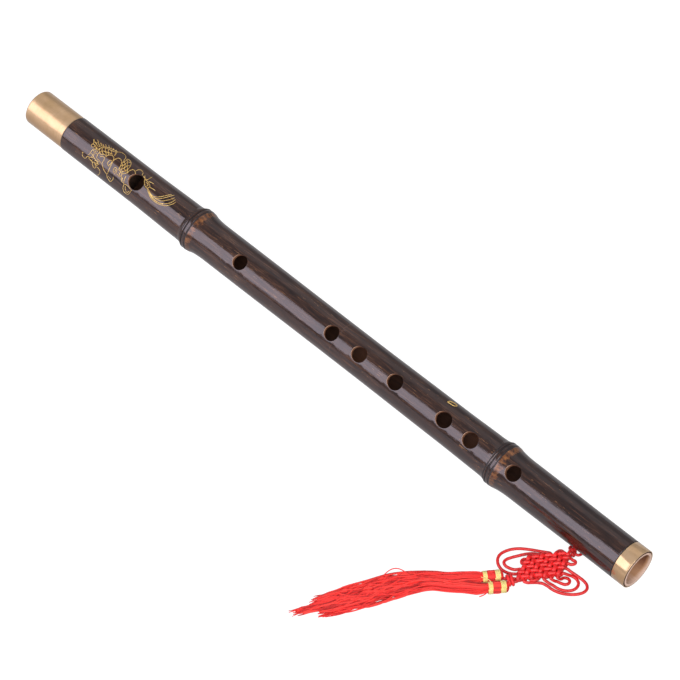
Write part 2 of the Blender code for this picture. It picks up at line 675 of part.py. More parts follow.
def build():
    clear_scene()
    parts = make_collection("bamboo_flute")
    cutters = make_collection("cutters")
    bamboo = make_material("lacquered_bamboo", (0.075, 0.036, 0.022), 0.22)
    brass = make_material("brass", (0.62, 0.42, 0.2), 0.28, 1.0)
    cork = make_material("cork", (0.42, 0.26, 0.14), 0.9)
    red_cord = make_material("red_cord", (0.72, 0.02, 0.025), 0.6)
    red_yarn = make_material("red_yarn", (0.66, 0.018, 0.022), 0.7)
    yellow_thread = make_material("yellow_thread", (0.86, 0.7, 0.18), 0.6)

    axis = add_empty("flute_axis", parts, (0, 0, AXIS_HEIGHT), (0, 90, 0))
    make_tube(parts, cutters, bamboo, axis)
    make_ferrule(parts, brass, axis)
    make_tail_ring(parts, brass, axis)
    make_stopper(parts, cork, axis)
    hanger = hanger_route()
    cord("hanger_loop", hanger, HANGER_DIAMETER, (0, 0, 0), parts, red_cord, None, 8, cyclic=True)

    hinge = add_empty("tassel_swing", parts, HINGE)
    knot = knot_route()
    cord("knot_cord", knot, CORD_DIAMETER, HINGE, parts, red_cord, hinge, 6)
    wrap = wrap_route()
    cord("lower_knot", wrap, CORD_DIAMETER, HINGE, parts, red_cord, hinge, 6)
    make_heads(parts, red_cord, yellow_thread, hinge)
    make_skirt("tassel_skirt_left", -1, parts, red_yarn, hinge)
    make_skirt("tassel_skirt_right", 1, parts, red_yarn, hinge)

    round_length = arc_lengths(np.vstack([hanger, hanger[:1]]))[-1]
    print(f"hanger loop: {round_length:.1f} mm round, {len(hanger)} points")
    print(f"knot cord: {arc_lengths(knot)[-1]:.1f} mm, {len(knot)} points, "
          f"least gap to itself {least_gap(knot, CORD_DIAMETER, 4.0):.2f} mm")
    print(f"lower knot: {arc_lengths(wrap)[-1]:.1f} mm, {len(wrap)} points, "
          f"least gap to itself {least_gap(wrap, CORD_DIAMETER, 6.0):.2f} mm")


build()
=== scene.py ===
from contextlib import contextmanager
import math
import random

import bmesh
import bpy
import numpy as np
from mathutils import Matrix, Vector, noise


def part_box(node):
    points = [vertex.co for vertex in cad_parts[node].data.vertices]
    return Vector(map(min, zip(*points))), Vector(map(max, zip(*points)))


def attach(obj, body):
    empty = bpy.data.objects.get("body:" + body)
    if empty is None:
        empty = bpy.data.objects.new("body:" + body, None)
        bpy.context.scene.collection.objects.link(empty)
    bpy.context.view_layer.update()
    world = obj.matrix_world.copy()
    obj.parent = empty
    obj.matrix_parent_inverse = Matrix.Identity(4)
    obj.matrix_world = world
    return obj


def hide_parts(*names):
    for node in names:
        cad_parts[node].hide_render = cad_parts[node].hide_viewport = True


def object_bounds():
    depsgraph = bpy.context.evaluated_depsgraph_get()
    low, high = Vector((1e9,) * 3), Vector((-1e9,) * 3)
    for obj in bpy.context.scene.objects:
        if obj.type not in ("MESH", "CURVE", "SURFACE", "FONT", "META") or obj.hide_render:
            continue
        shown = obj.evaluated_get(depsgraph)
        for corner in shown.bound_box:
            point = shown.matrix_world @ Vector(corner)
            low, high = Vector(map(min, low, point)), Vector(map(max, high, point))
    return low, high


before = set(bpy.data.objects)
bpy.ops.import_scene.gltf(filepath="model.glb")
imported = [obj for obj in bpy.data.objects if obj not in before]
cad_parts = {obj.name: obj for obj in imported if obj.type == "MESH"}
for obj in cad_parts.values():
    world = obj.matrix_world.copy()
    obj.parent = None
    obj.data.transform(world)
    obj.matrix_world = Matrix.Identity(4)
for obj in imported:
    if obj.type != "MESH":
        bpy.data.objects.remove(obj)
cadLow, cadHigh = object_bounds()
mm = 0.001
fullTurn = 2 * math.pi
mergeGap = 0.001 * mm
tubeLow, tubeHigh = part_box("bamboo_tube")
axisHeight = (tubeLow.z + tubeHigh.z) / 2 / mm   # sizes below are millimetres
halfLength = cadHigh.x / mm
print("frame loaded,", len(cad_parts), "nodes")


def addObject(name, data):
    made = bpy.data.objects.new(name, data)
    bpy.context.scene.collection.objects.link(made)
    return made


# Camera

cameraSetup = {
    "place": (0.73655, -0.7396, 1.3454),
    "looks": (-0.4285, 0.4383, -0.7901),
    "lens": 169.4,
    "clip": (0.05, 30),
}


def addCamera(s):
    data = bpy.data.cameras.new("camera")
    data.lens = s["lens"]
    data.clip_start, data.clip_end = s["clip"]
    camera = addObject("camera", data)
    camera.location = s["place"]
    camera.rotation_euler = Vector(s["looks"]).to_track_quat("-Z", "Y").to_euler()
    bpy.context.scene.camera = camera


addCamera(cameraSetup)


# Small helpers for pieces

def addPiece(name, mesh, body, replaced, material):
    mesh.materials.append(material)
    piece = addObject(name, mesh)
    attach(piece, body)
    if replaced:
        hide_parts(*replaced)
    return piece


def toMesh(bm, name, sharpAngle=40):
    mesh = bpy.data.meshes.new(name)
    bm.to_mesh(mesh)
    bm.free()
    mesh.shade_smooth()
    mesh.set_sharp_from_angle(angle=math.radians(sharpAngle))
    return mesh


@contextmanager
def editing(mesh):
    bm = bmesh.new()
    bm.from_mesh(mesh)
    yield bm
    bm.to_mesh(mesh)
    bm.free()


def spinProfile(bm, points, steps, closed=True, centre=(0, 0, axisHeight * mm), axis=(1, 0, 0)):
    before = set(bm.verts)
    profile = [bm.verts.new(point) for point in points]
    following = profile[1:] + profile[:1] if closed else profile[1:]
    edges = [bm.edges.new(pair) for pair in zip(profile, following)]
    bmesh.ops.spin(bm, geom=profile + edges, cent=centre, axis=axis, dvec=(0, 0, 0), angle=fullTurn,
                   steps=steps, use_merge=True, use_duplicate=False)
    made = [vertex for vertex in bm.verts if vertex not in before]
    bmesh.ops.remove_doubles(bm, verts=made, dist=mergeGap)
    return [vertex for vertex in bm.verts if vertex not in before]


def ease(share):
    return share * share * (3 - 2 * share)


def clamp(value, low=0.0, high=1.0):
    return max(low, min(high, value))


def arcLengths(points):
    steps = np.linalg.norm(np.diff(points, axis=0), axis=1)
    return np.concatenate([[0.0], np.cumsum(steps)])


def resample(points, places):
    along = arcLengths(points)
    return np.column_stack([np.interp(places, along, column) for column in points.T])


def smoothCurve(points, detail=24):
    points = np.array(points, dtype=float)
    ends = np.vstack([2 * points[0] - points[1], points, 2 * points[-1] - points[-2]])
    fine = []
    for index in range(1, len(ends) - 2):
        p0, p1, p2, p3 = ends[index - 1:index + 3]
        t1 = math.sqrt(np.linalg.norm(p1 - p0))   # centripetal spacing keeps the curve from looping
        t2 = t1 + math.sqrt(np.linalg.norm(p2 - p1))
        t3 = t2 + math.sqrt(np.linalg.norm(p3 - p2))
        for t in np.linspace(t1, t2, detail, endpoint=False):
            a1 = p0 + (p1 - p0) * t / t1
            a2 = p1 + (p2 - p1) * (t - t1) / (t2 - t1)
            a3 = p2 + (p3 - p2) * (t - t2) / (t3 - t2)
            b1 = a1 + (a2 - a1) * t / t2
            b2 = a2 + (a3 - a2) * (t - t1) / (t3 - t1)
            fine.append(b1 + (b2 - b1) * (t - t1) / (t2 - t1))
    fine.append(points[-1])
    return np.array(fine)


def evenly(points, step, detail=24):
    fine = smoothCurve(points, detail)
    length = arcLengths(fine)[-1]
    count = max(2, round(length / step))
    return resample(fine, np.linspace(0.0, length, count + 1))


def sweepMesh(name, routes, radius, sides, widths=None):
    curve = bpy.data.curves.new(name, "CURVE")   # the bevelled curve becomes a mesh with its own UV map
    curve.dimensions = "3D"
    curve.bevel_depth = radius * mm
    curve.bevel_resolution = sides // 2 - 2
    curve.use_fill_caps = True
    for number, route in enumerate(routes):
        spline = curve.splines.new("POLY")
        spline.points.add(len(route) - 1)
        for index, point in enumerate(route):
            spline.points[index].co = (*(value * mm for value in point), 1.0)
            if widths:
                spline.points[index].radius = widths[number][index]
        spline.use_smooth = True
    holder = addObject(name, curve)
    depsgraph = bpy.context.evaluated_depsgraph_get()
    mesh = bpy.data.meshes.new_from_object(holder.evaluated_get(depsgraph))
    bpy.data.objects.remove(holder)
    bpy.data.curves.remove(curve)
    with editing(mesh) as bm:
        bmesh.ops.remove_doubles(bm, verts=bm.verts, dist=mergeGap / 100)
        bmesh.ops.recalc_face_normals(bm, faces=bm.faces)
    mesh.name = name
    mesh.shade_smooth()
    return mesh


def tintStrands(mesh, seed):
    rng = random.Random(seed)
    done = set()
    with editing(mesh) as bm:
        layer = bm.verts.layers.float.new("strand")
        for first in bm.verts:
            if first in done:
                continue
            tint = rng.random()   # one value for each separate strand
            waiting = [first]
            done.add(first)
            while waiting:
                vertex = waiting.pop()
                vertex[layer] = tint
                for edge in vertex.link_edges:
                    other = edge.other_vert(vertex)
                    if other not in done:
                        done.add(other)
                        waiting.append(other)


# Material building blocks

def feed(tree, socket, value):
    if isinstance(value, bpy.types.NodeSocket):
        tree.links.new(value, socket)
    else:
        socket.default_value = (*value, 1.0) if socket.type == "RGBA" else value


def setShader(tree, shader, **sockets):
    for label, value in sockets.items():
        feed(tree, shader.inputs[label.replace("_", " ")], value)


def newMaterial(name, **sockets):
    material = bpy.data.materials.new(name)
    material.use_nodes = True
    shader = material.node_tree.nodes["Principled BSDF"]
    setShader(material.node_tree, shader, **sockets)
    return material, material.node_tree, shader


def addNode(tree, kind, inputs=None, **settings):
    node = tree.nodes.new(kind)
    for key, value in settings.items():
        setattr(node, key, value)
    for label, value in (inputs or {}).items():
        feed(tree, node.inputs[label], value)
    return node


def coordinates(tree, kind):
    place = addNode(tree, "ShaderNodeTexCoord").outputs[kind]
    return addNode(tree, "ShaderNodeSeparateXYZ", {0: place}).outputs[:]


def mathNode(tree, operation, *values):
    return addNode(tree, "ShaderNodeMath", dict(enumerate(values)), operation=operation).outputs[0]


def times(tree, first, second):
    return mathNode(tree, "MULTIPLY", first, second)


def timesPlus(tree, value, factor, extra):
    return mathNode(tree, "MULTIPLY_ADD", value, factor, extra)


def minus(tree, first, second):
    return mathNode(tree, "SUBTRACT", first, second)


def larger(tree, first, second):
    return mathNode(tree, "MAXIMUM", first, second)


def wave(tree, turns):
    return mathNode(tree, "SINE", times(tree, turns, fullTurn))


def rampNode(tree, value, stops):
    node = addNode(tree, "ShaderNodeValToRGB", {0: value})
    elements = node.color_ramp.elements
    while len(elements) < len(stops):
        elements.new(0.5)
    for element, (place, color) in zip(elements, stops):
        element.position = place
        element.color = (*color, 1.0)
    return node.outputs[0]


def mixColors(tree, factor, first, second):
    return addNode(tree, "ShaderNodeMix", {0: factor, 6: first, 7: second}, data_type="RGBA").outputs[2]


def stretchedNoise(tree, scale, detail=2.0, roughness=0.5, offset=0.0):
    scale = scale if isinstance(scale, tuple) else (scale,) * 3
    place = addNode(tree, "ShaderNodeTexCoord").outputs["Object"]
    mapping = addNode(tree, "ShaderNodeMapping", {"Vector": place, "Location": (offset,) * 3, "Scale": scale})
    pattern = {"Vector": mapping.outputs[0], "Scale": 1.0, "Detail": detail, "Roughness": roughness}
    return addNode(tree, "ShaderNodeTexNoise", pattern).outputs[0]


def smoothStep(tree, value, low, high):
    return addNode(tree, "ShaderNodeMapRange", {"Value": value, "From Min": low, "From Max": high},
                   interpolation_type="SMOOTHSTEP").outputs[0]


def attributeValue(tree, name):
    return addNode(tree, "ShaderNodeAttribute", attribute_name=name).outputs["Fac"]


def addBump(tree, shader, height, strength, distance):
    bump = addNode(tree, "ShaderNodeBump", {"Strength": strength, "Distance": distance, "Height": height})
    setShader(tree, shader, Normal=bump.outputs[0])


# Cord routes: after the model's source, with the loops drawn closer to the real ones

cordSides, strandSides = 12, 8
cordStep = 0.5

hanger = {
    "hinge": (187.4, -9.1, 2.3),
    "diameter": 1.0,
    "hole": 188.0,
    "rolls": (189.5, 229.5),
    "outsideFrom": 11.4,
    "widerOutside": 0.5,
}
knot = {
    "diameter": 1.62,
    "down": 7,
    "across": 5,
    "cell": 3.4,
    "top": (187.0, -12.2),
    "headings": (-70.0, -130.0),
    "rise": 1.3,
    "sharpness": 1.7,
    "perCell": 8,
    "height": 3.25,
    "tilt": 0.12,
    "loopHeight": 1.0,
    "lead": 0.6,
    "eyeRadius": 1.48,
    "eyeSpan": (188.75, 186.2),
    "eyeAngles": (-175, 96, 30),
    "eyeTurn": 290,
    "order": ("b6", "a5", "c3", "a3", "b4", "d2", "c1", "d0", "a0", "b1", "a2", "c4"),
    "ears": {("a1", "a2"): 0.8, ("a5", "a6"): 0.5, ("d0", "d1"): 0.8, ("b3", "b4"): 0.5},
    "step": 0.42,
    "loopStep": 0.6,
    "flatLoop": 14.0,
    "flatWithin": 0.22,
    "nearTube": {"from": -13.6, "fade": 1.6, "above": 4.1, "lowered": 0.65, "slimmer": 0.7},
    "wovenRim": 0.55,
    "wovenFade": 0.5,
    "wovenWider": 0.3,
    "loops": {
        ("c3", "b5"): ((195.2, -19.3), (198.8, -18.2), (202.1, -17.8), (205.0, -18.6), (206.6, -20.5),
                       (206.6, -23.2), (204.9, -26.3), (202.1, -29.1), (198.5, -31.4), (194.6, -32.6),
                       (191.3, -32.8), (188.6, -33.3), (186.4, -35.1), (184.8, -37.4), (183.2, -39.6)),
        ("c4", "b2"): ((194.6, -21.9), (196.6, -19.9), (199.2, -19.6), (201.4, -20.9), (202.3, -23.4),
                       (201.7, -26.0), (199.3, -28.7), (196.0, -30.2), (192.9, -30.7), (190.6, -31.9)),
        ("b0", "b1"): ((193.7, -25.8), (193.8, -23.3), (195.4, -22.3), (197.1, -22.7), (197.7, -24.2),
                       (196.9, -25.9), (195.0, -26.8), (193.1, -27.3), (191.8, -28.9)),
        ("c1", "c2"): ((190.9, -13.8), (192.3, -13.4), (193.2, -14.3), (192.8, -15.6), (191.6, -16.8)),
        ("a3", "d3"): ((177.9, -18.7), (175.4, -19.8), (172.9, -20.9), (170.2, -22.5), (167.7, -24.3),
                       (165.3, -26.4), (163.2, -29.1), (161.7, -32.3), (161.2, -35.4), (162.3, -38.4),
                       (164.7, -40.5), (167.7, -41.5), (170.7, -41.5), (173.7, -40.7), (175.9, -39.2)),
        ("a4", "d2"): ((175.6, -22.1), (172.9, -23.3), (170.9, -25.4), (169.3, -27.8), (167.9, -30.3),
                       (166.4, -33.1), (165.5, -35.6), (165.8, -37.5), (167.8, -38.5), (170.6, -38.2),
                       (173.1, -37.5)),
    },
}
tassel = {
    "heading": -129.0,
    "height": 3.2,
    "wrapTurns": 1.75,
    "wrapSteps": 36,
    "wrapPitch": 1.72,
    "wrapStart": 1.5,
    "wrapRadius": 1.66,
    "spread": 0.86,
    "headTops": ((-3.4, 6.5), (3.4, 4.6)),
    "headLength": 10.3,
    "bands": (2.5, 9.0),
    "route": ((167.9, -55.5, 13.2, 6.3), (161.5, -60.6, 12.8, 5.8), (154.8, -66.6, 12.0, 5.2),
              (147.0, -72.6, 11.2, 4.7), (141.3, -79.6, 13.0, 4.4), (136.0, -88.0, 15.0, 4.0),
              (131.0, -98.0, 15.2, 3.6), (125.5, -108.0, 15.0, 3.2), (120.0, -118.0, 14.4, 2.8),
              (115.6, -126.2, 12.4, 2.4)),
}


def unit(headingDeg):
    angle = math.radians(headingDeg)
    return np.array([math.cos(angle), math.sin(angle)])


cellDown = knot["cell"] * unit(knot["headings"][0])
cellAcross = knot["cell"] * unit(knot["headings"][1])
bodyCentre = knot["top"] + (knot["across"] - 1) / 2 * cellDown + (knot["down"] - 1) / 2 * cellAcross
bodySide = (cellDown - cellAcross) / np.linalg.norm(cellDown - cellAcross)
bodyNormal = np.array([-knot["tilt"] * bodySide[0], -knot["tilt"] * bodySide[1], 1.0])
bodyNormal = bodyNormal / np.linalg.norm(bodyNormal)
tasselAlong = unit(tassel["heading"])
tasselRight = unit(tassel["heading"] + 90)


def aroundTube(x, turnDeg, radius):
    angle = math.radians(turnDeg)
    return (x, -math.sin(angle) * radius, axisHeight + math.cos(angle) * radius)


def hangerRoute(s):
    x, y, z = s["hinge"]
    near, far = s["rolls"]
    hole = s["hole"]
    legOut = [(x - 2.3, y, z), (x - 3.0, y + 0.4, z), (x - 3.3, y + 1.2, z - 0.15),
              (x - 3.2, y + 2.6, z - 0.7), (x - 2.7, y + 4.6, 1.0), (x - 1.6, y + 7.0, 0.76),
              (x - 0.6, y + 9.4, 0.78), (x + 0.2, y + 10.5, 1.15)]
    inside = [(near - 1.0, 10.6), (near, 9.2), (near + 2.5, 8.0), (near + 9, 7.55), (near + 17, 7.5),
              (near + 25, 7.55), (far - 7, 7.7), (far - 2.5, 8.3), (far, 9.4), (far, 10.8), (far, 12.0)]
    legBack = [(hole + 0.3, 9.8, 4.1), (hole + 0.5, 9.9, 2.7), (hole + 0.8, 9.0, 1.4), (hole + 1.2, 7.2, 0.8),
               (hole + 1.7, 4.4, 0.7), (x + 2.8, 1.4, 0.7), (x + 3.1, -1.6, 0.76), (x + 3.3, y + 4.6, 1.0),
               (x + 3.4, y + 2.6, z - 0.7), (x + 3.3, y + 1.2, z - 0.15), (x + 3.0, y + 0.4, z),
               (x + 2.3, y, z)]
    bore = [aroundTube(hole, roll, radius) for roll, radius in inside]
    return evenly([(x + 0.02, y, z)] + legOut + bore + legBack + [(x + 0.04, y, z)], cordStep)


def bodyPoint(down, across, lift=0.0):
    plan = knot["top"] + down * cellDown + across * cellAcross
    height = knot["height"] + knot["tilt"] * float(np.dot(plan - bodyCentre, bodySide))
    return np.array([plan[0], plan[1], height]) + lift * bodyNormal


def tasselPoint(right, along, height):
    lastDown, lastAcross = knot["across"] - 1, knot["down"] - 1
    start = (bodyPoint(lastDown + 0.5, lastAcross) + bodyPoint(lastDown, lastAcross + 0.5)) / 2
    plan = start[:2] + right * tasselRight + along * tasselAlong
    return np.array([plan[0], plan[1], height])


def overUnder(cells):
    swing = knot["sharpness"] * math.cos(math.pi * cells)
    return knot["rise"] * math.sin(math.pi / 2 * clamp(swing, -1.0, 1.0))


def strand(side, index):
    runsDown = side in "ab"
    cells = knot["across"] if runsDown else knot["down"]
    steps = range(cells * knot["perCell"])
    places = [-0.5, *(-0.5 + (step + 0.5) / knot["perCell"] for step in steps), cells - 0.5]
    sign = 1 if index % 2 == 0 else -1
    points = []
    for place in places:
        lift = sign * overUnder(place)
        points.append(bodyPoint(place, index, lift) if runsDown else bodyPoint(index, place, -lift))
    return points if side in "ac" else points[::-1]


def strandEnd(name):
    index = int(name[1:])
    places = {"a": (-0.5, index), "b": (knot["across"] - 0.5, index),
              "c": (index, -0.5), "d": (index, knot["down"] - 0.5)}
    return bodyPoint(*places[name[0]])


def endHeading(name):
    plan = {"a": -cellDown, "b": cellDown, "c": -cellAcross, "d": cellAcross}[name[0]] / knot["cell"]
    return np.array([plan[0], plan[1], 0.0])


def eyeRoute():
    xStart, xEnd = knot["eyeSpan"]
    angles = range(*knot["eyeAngles"])
    points = [strandEnd("c0")]
    for angle in angles:
        share = (angle - angles[0]) / knot["eyeTurn"]
        points.append((xStart + (xEnd - xStart) * share,
                       hanger["hinge"][1] + knot["eyeRadius"] * math.cos(math.radians(angle)),
                       hanger["hinge"][2] + knot["eyeRadius"] * math.sin(math.radians(angle))))
    points.append(strandEnd("a0"))
    return evenly(points, cordStep)


def earRoute(first, second, tall):
    start, end = strandEnd(first), strandEnd(second)
    half = np.linalg.norm(end - start) / 2
    along = (end - start) / (2 * half)
    out = endHeading(first) - along * np.dot(endHeading(first), along)
    out = out / np.linalg.norm(out)
    middle = (start + end) / 2
    shoulders = [middle + half * (side * 0.8 * along + 0.58 * tall * out) for side in (-1, 1)]
    return evenly([start, shoulders[0], middle + half * tall * out, shoulders[1], end], cordStep)


def loopRoute(first, second):
    start, end = strandEnd(first), strandEnd(second)
    flat = [(x, y, 0.0) for x, y in knot["loops"][first, second]]
    leaving = start + knot["lead"] * endHeading(first)
    entering = end + knot["lead"] * endHeading(second)
    points = np.array([start, leaving, *flat, entering, end])
    along = arcLengths(points[:, :2])
    for point, place in zip(points[1:-1], along[1:-1]):
        share = place / along[-1]
        level = start[2] + (end[2] - start[2]) * share
        sinks = along[-1] >= knot["flatLoop"]   # shorter loops stay level with the body
        sunk = ease(clamp(min(share, 1 - share) / knot["flatWithin"])) if sinks else 0.0
        point[2] = level + (knot["loopHeight"] - level) * sunk
    return evenly(points, knot["loopStep"])


def joinRoute(first, second):
    for start, end in ((first, second), (second, first)):
        if (start, end) == ("c0", "a0"):
            route = eyeRoute()
        elif (start, end) in knot["loops"]:
            route = loopRoute(start, end)
        elif (start, end) in knot["ears"]:
            route = earRoute(start, end, knot["ears"][start, end])
        else:
            continue
        return route if start == first else route[::-1]


def knotRoute():
    side = tassel["spread"]
    rightPlaces = ((1.0, 4.52), (0.9, 4.0), (side, 3.4), (side, 1.6), (1.05, 0.75), (1.15, 0.1))
    leftPlaces = ((-side, 1.4), (-side, 3.0), (-0.88, 4.4), (-1.15, 5.3), (-1.6, 6.38))
    rightEnd = [tasselPoint(*place, tassel["height"]) for place in rightPlaces] + [strandEnd("b6")]
    leftEnd = [strandEnd("d4")] + [tasselPoint(*place, tassel["height"]) for place in leftPlaces]
    otherEnd = {"a": "b", "b": "a", "c": "d", "d": "c"}
    route = list(evenly(rightEnd, cordStep))
    for place, name in enumerate(knot["order"]):
        route += strand(name[0], int(name[1:]))[1:]
        if place + 1 < len(knot["order"]):
            route += list(joinRoute(otherEnd[name[0]] + name[1:], knot["order"][place + 1]))[1:]
    route += list(evenly(leftEnd, cordStep))[1:]
    return evenly(route, knot["step"], detail=4)


def wrapRoute():
    count = round(tassel["wrapTurns"] * tassel["wrapSteps"])
    points = []
    for index in range(count + 1):
        turn = index / tassel["wrapSteps"]
        angle = fullTurn * (turn - 0.25)
        flat = clamp(3 * math.cos(angle), -1.0, 1.0)   # the winding is wider than high
        right = tassel["wrapRadius"] * math.cos(angle) + tassel["spread"] * flat
        height = tassel["height"] + tassel["wrapRadius"] * math.sin(angle)
        points.append(tasselPoint(right, tassel["wrapStart"] + tassel["wrapPitch"] * turn, height))
    return np.array(points)


# Cord and yarn finishes

cordLook = {
    "color": (0.93, 0.019, 0.022),
    "sheenTint": (1.0, 0.45, 0.4),
    "carriers": 8,
    "pitch": 1.5,
    "inLoops": 0.68,
}
yarnLook = {
    "color": (0.94, 0.026, 0.024),
    "twists": 70,
    "headTwists": 14,
}


def satinCord(name, length):
    material, tree, shader = newMaterial(name, Roughness=0.36, Specular_IOR_Level=0.6, Sheen_Weight=0.15,
                                         Sheen_Roughness=0.4, Sheen_Tint=cordLook["sheenTint"])
    color = cordLook["color"]
    around, along, _ = coordinates(tree, "UV")
    turn = times(tree, around, cordLook["carriers"])
    run = times(tree, along, length / cordLook["pitch"])
    crossing = times(tree, wave(tree, mathNode(tree, "ADD", turn, run)), wave(tree, minus(tree, turn, run)))
    braid = timesPlus(tree, crossing, 0.5, 0.5)   # the crossing carriers of the braid
    # painted shade and highlight: the braid's dips darker and its crossings lighter in the colour, as well as
    # in the bump; the noise part is random tone
    shade = timesPlus(tree, stretchedNoise(tree, 600), 0.7, times(tree, braid, 0.3))
    dark = tuple(value * 0.62 for value in color)
    light = tuple(min(1.0, value * 1.12 + 0.02) for value in color)
    base = rampNode(tree, shade, ((0.25, dark), (0.5, color), (0.85, light)))
    # painted sheen: the woven body of the knot is coloured paler than its loops
    loops = cordLook["inLoops"]
    wovenSheen = timesPlus(tree, attributeValue(tree, "woven"), 1 - loops, loops)   # painted sheen: paler where woven, darker in the loops
    base = mixColors(tree, wovenSheen, tuple(value * 0.35 for value in color), base)
    setShader(tree, shader, Base_Color=base)
    addBump(tree, shader, braid, 0.35, 0.0001)
    return material


def twisted(tree, twists):
    around, along, _ = coordinates(tree, "UV")
    turn = timesPlus(tree, around, 2.0, times(tree, along, twists))   # two plies round each other
    return timesPlus(tree, wave(tree, turn), 0.5, 0.5)


def softYarn(name, color, twists):
    material, tree, shader = newMaterial(name, Roughness=0.5, Specular_IOR_Level=0.45, Sheen_Weight=0.2,
                                         Sheen_Roughness=0.5, Sheen_Tint=cordLook["sheenTint"])
    ply = twisted(tree, twists)
    # the ply twist also shades the colour: painted shade in its grooves and painted highlight on its ridges,
    # beside random mottle
    shade = timesPlus(tree, stretchedNoise(tree, 180, 3), 0.35, times(tree, ply, 0.12))
    shade = timesPlus(tree, attributeValue(tree, "strand"), 0.62, minus(tree, shade, 0.06))
    dark = (color[0] * 0.5, color[1] * 0.3, color[2] * 0.4)
    light = (min(1.0, color[0] * 1.08), color[1] * 1.9 + 0.01, color[2] * 1.5 + 0.01)
    setShader(tree, shader, Base_Color=rampNode(tree, shade, ((0.18, dark), (0.46, color), (0.82, light))))
    addBump(tree, shader, ply, 0.35, 0.00008)
    return material


def woven(point):
    plan = np.array(point[:2]) - np.array(knot["top"])
    down, across = np.linalg.solve(np.column_stack([cellDown, cellAcross]), plan)
    rim = knot["wovenRim"]
    inside = min(down + rim, knot["across"] - 1 + rim - down, across + rim, knot["down"] - 1 + rim - across)
    return ease(clamp(inside / knot["wovenFade"]))   # 1 in the body of the knot, 0 in its loops


def nearTube(point):
    return clamp((point[1] - knot["nearTube"]["from"]) / knot["nearTube"]["fade"])


def markWoven(mesh, whole=False):
    with editing(mesh) as bm:
        layer = bm.verts.layers.float.new("woven")
        for vertex in bm.verts:
            vertex[layer] = 1.0 if whole else woven(vertex.co / mm)
    return mesh


def cordWidth(point):   # pressed wider where woven, less so beside the tube
    return 1 + knot["wovenWider"] * woven(point) * (1 - knot["nearTube"]["slimmer"] * nearTube(point))


hangerLine = hangerRoute(hanger)
knotLine = knotRoute()
for point in knotLine:   # lower beside the eye, to stay clear of the tube when the pendant swings up
    over = max(0.0, point[2] - knot["nearTube"]["above"])
    point[2] -= knot["nearTube"]["lowered"] * nearTube(point) * over
wrapLine = wrapRoute()
knotLength = arcLengths(knotLine)[-1]
hangerLength = arcLengths(hangerLine)[-1]
print(f"cord routes: knot {knotLength:.1f} mm, hanger {hangerLength:.1f} mm")

knotWidths = [cordWidth(point) for point in knotLine]
knotMesh = markWoven(sweepMesh("knotCord", [knotLine], knot["diameter"] / 2, cordSides, [knotWidths]))
knotCord = addPiece("knotCord", knotMesh, "pendant", ["knot_cord"],
                    satinCord("satinCord", knotLength))
outside = [math.hypot(y, z - axisHeight) - hanger["outsideFrom"] for x, y, z in hangerLine]
hangerWidths = [1 + hanger["widerOutside"] * clamp(place) for place in outside]
hangerMesh = sweepMesh("hangerCord", [hangerLine], hanger["diameter"] / 2, cordSides, [hangerWidths])
hangerCord = addPiece("hangerCord", hangerMesh, "flute", ["hanger_loop"],
                      satinCord("hangerCord", hangerLength))
wrapMesh = markWoven(sweepMesh("lowerKnot", [wrapLine], knot["diameter"] / 2, cordSides), whole=True)
lowerKnot = addPiece("lowerKnot", wrapMesh, "pendant", ["lower_knot"],
                     satinCord("wrapCord", arcLengths(wrapLine)[-1]))
print("cords made")


# Tassel heads, bands and skirts

headSetup = {
    "strands": 26,
    "strandRadius": 0.42,
    "form": ((0.55, -0.15), (1.5, 0.1), (2.25, 0.55), (2.66, 1.15), (2.42, 1.75), (2.32, 2.5), (2.42, 3.3),
             (2.72, 4.0), (2.82, 5.0), (2.82, 6.4), (2.72, 7.6), (2.42, 8.2), (2.32, 9.0), (2.42, 9.8),
             (2.6, 10.4)),
    "coreForm": ((0.0, 0.35), (1.4, 0.6), (2.1, 1.3), (2.0, 2.5), (2.4, 4.2), (2.4, 7.2), (2.0, 9.0),
                 (2.1, 10.6), (0.0, 10.8)),
    "coreSteps": 24,
    "bandWidths": (2.9, 2.4),
    "threadColor": (0.96, 0.79, 0.23),
    "threadDark": (0.72, 0.52, 0.10),
    "threadLight": (1.0, 0.93, 0.52),
    "threadTwists": 240,
    "threadRadius": 0.19,
    "threadTurns": 8,
    "threadSteps": 28,
    "threadPlace": 3.04,
    "looseThread": ((171.6, -53.6, 6.3), (170.2, -53.4, 6.6), (168.3, -53.7, 6.3), (166.6, -54.3, 5.9),
                    (165.2, -54.2, 5.2)),
}


def headFrame(side):
    right, along = tassel["headTops"][side]
    top = tasselPoint(right, along, tassel["height"])
    return top, np.array([*tasselAlong, 0.0]), np.array([*tasselRight, 0.0])


def aroundHead(side, radius, along, angle):
    top, alongAxis, rightAxis = headFrame(side)
    up = np.array([0.0, 0.0, 1.0])
    return top + along * alongAxis + radius * (math.cos(angle) * rightAxis + math.sin(angle) * up)


def headStrands(side, s):
    routes = []
    for number in range(s["strands"]):
        angle = fullTurn * (number + 0.3 * math.sin(number * 7.3)) / s["strands"]
        form = [(radius * (1 + 0.03 * math.sin(number * 5.1 + place * 2)), along)
                for place, (radius, along) in enumerate(s["form"])]
        points = [aroundHead(side, radius, along, angle + 0.03 * along) for radius, along in form]
        routes.append(evenly(points, 0.45, detail=8))
    return routes


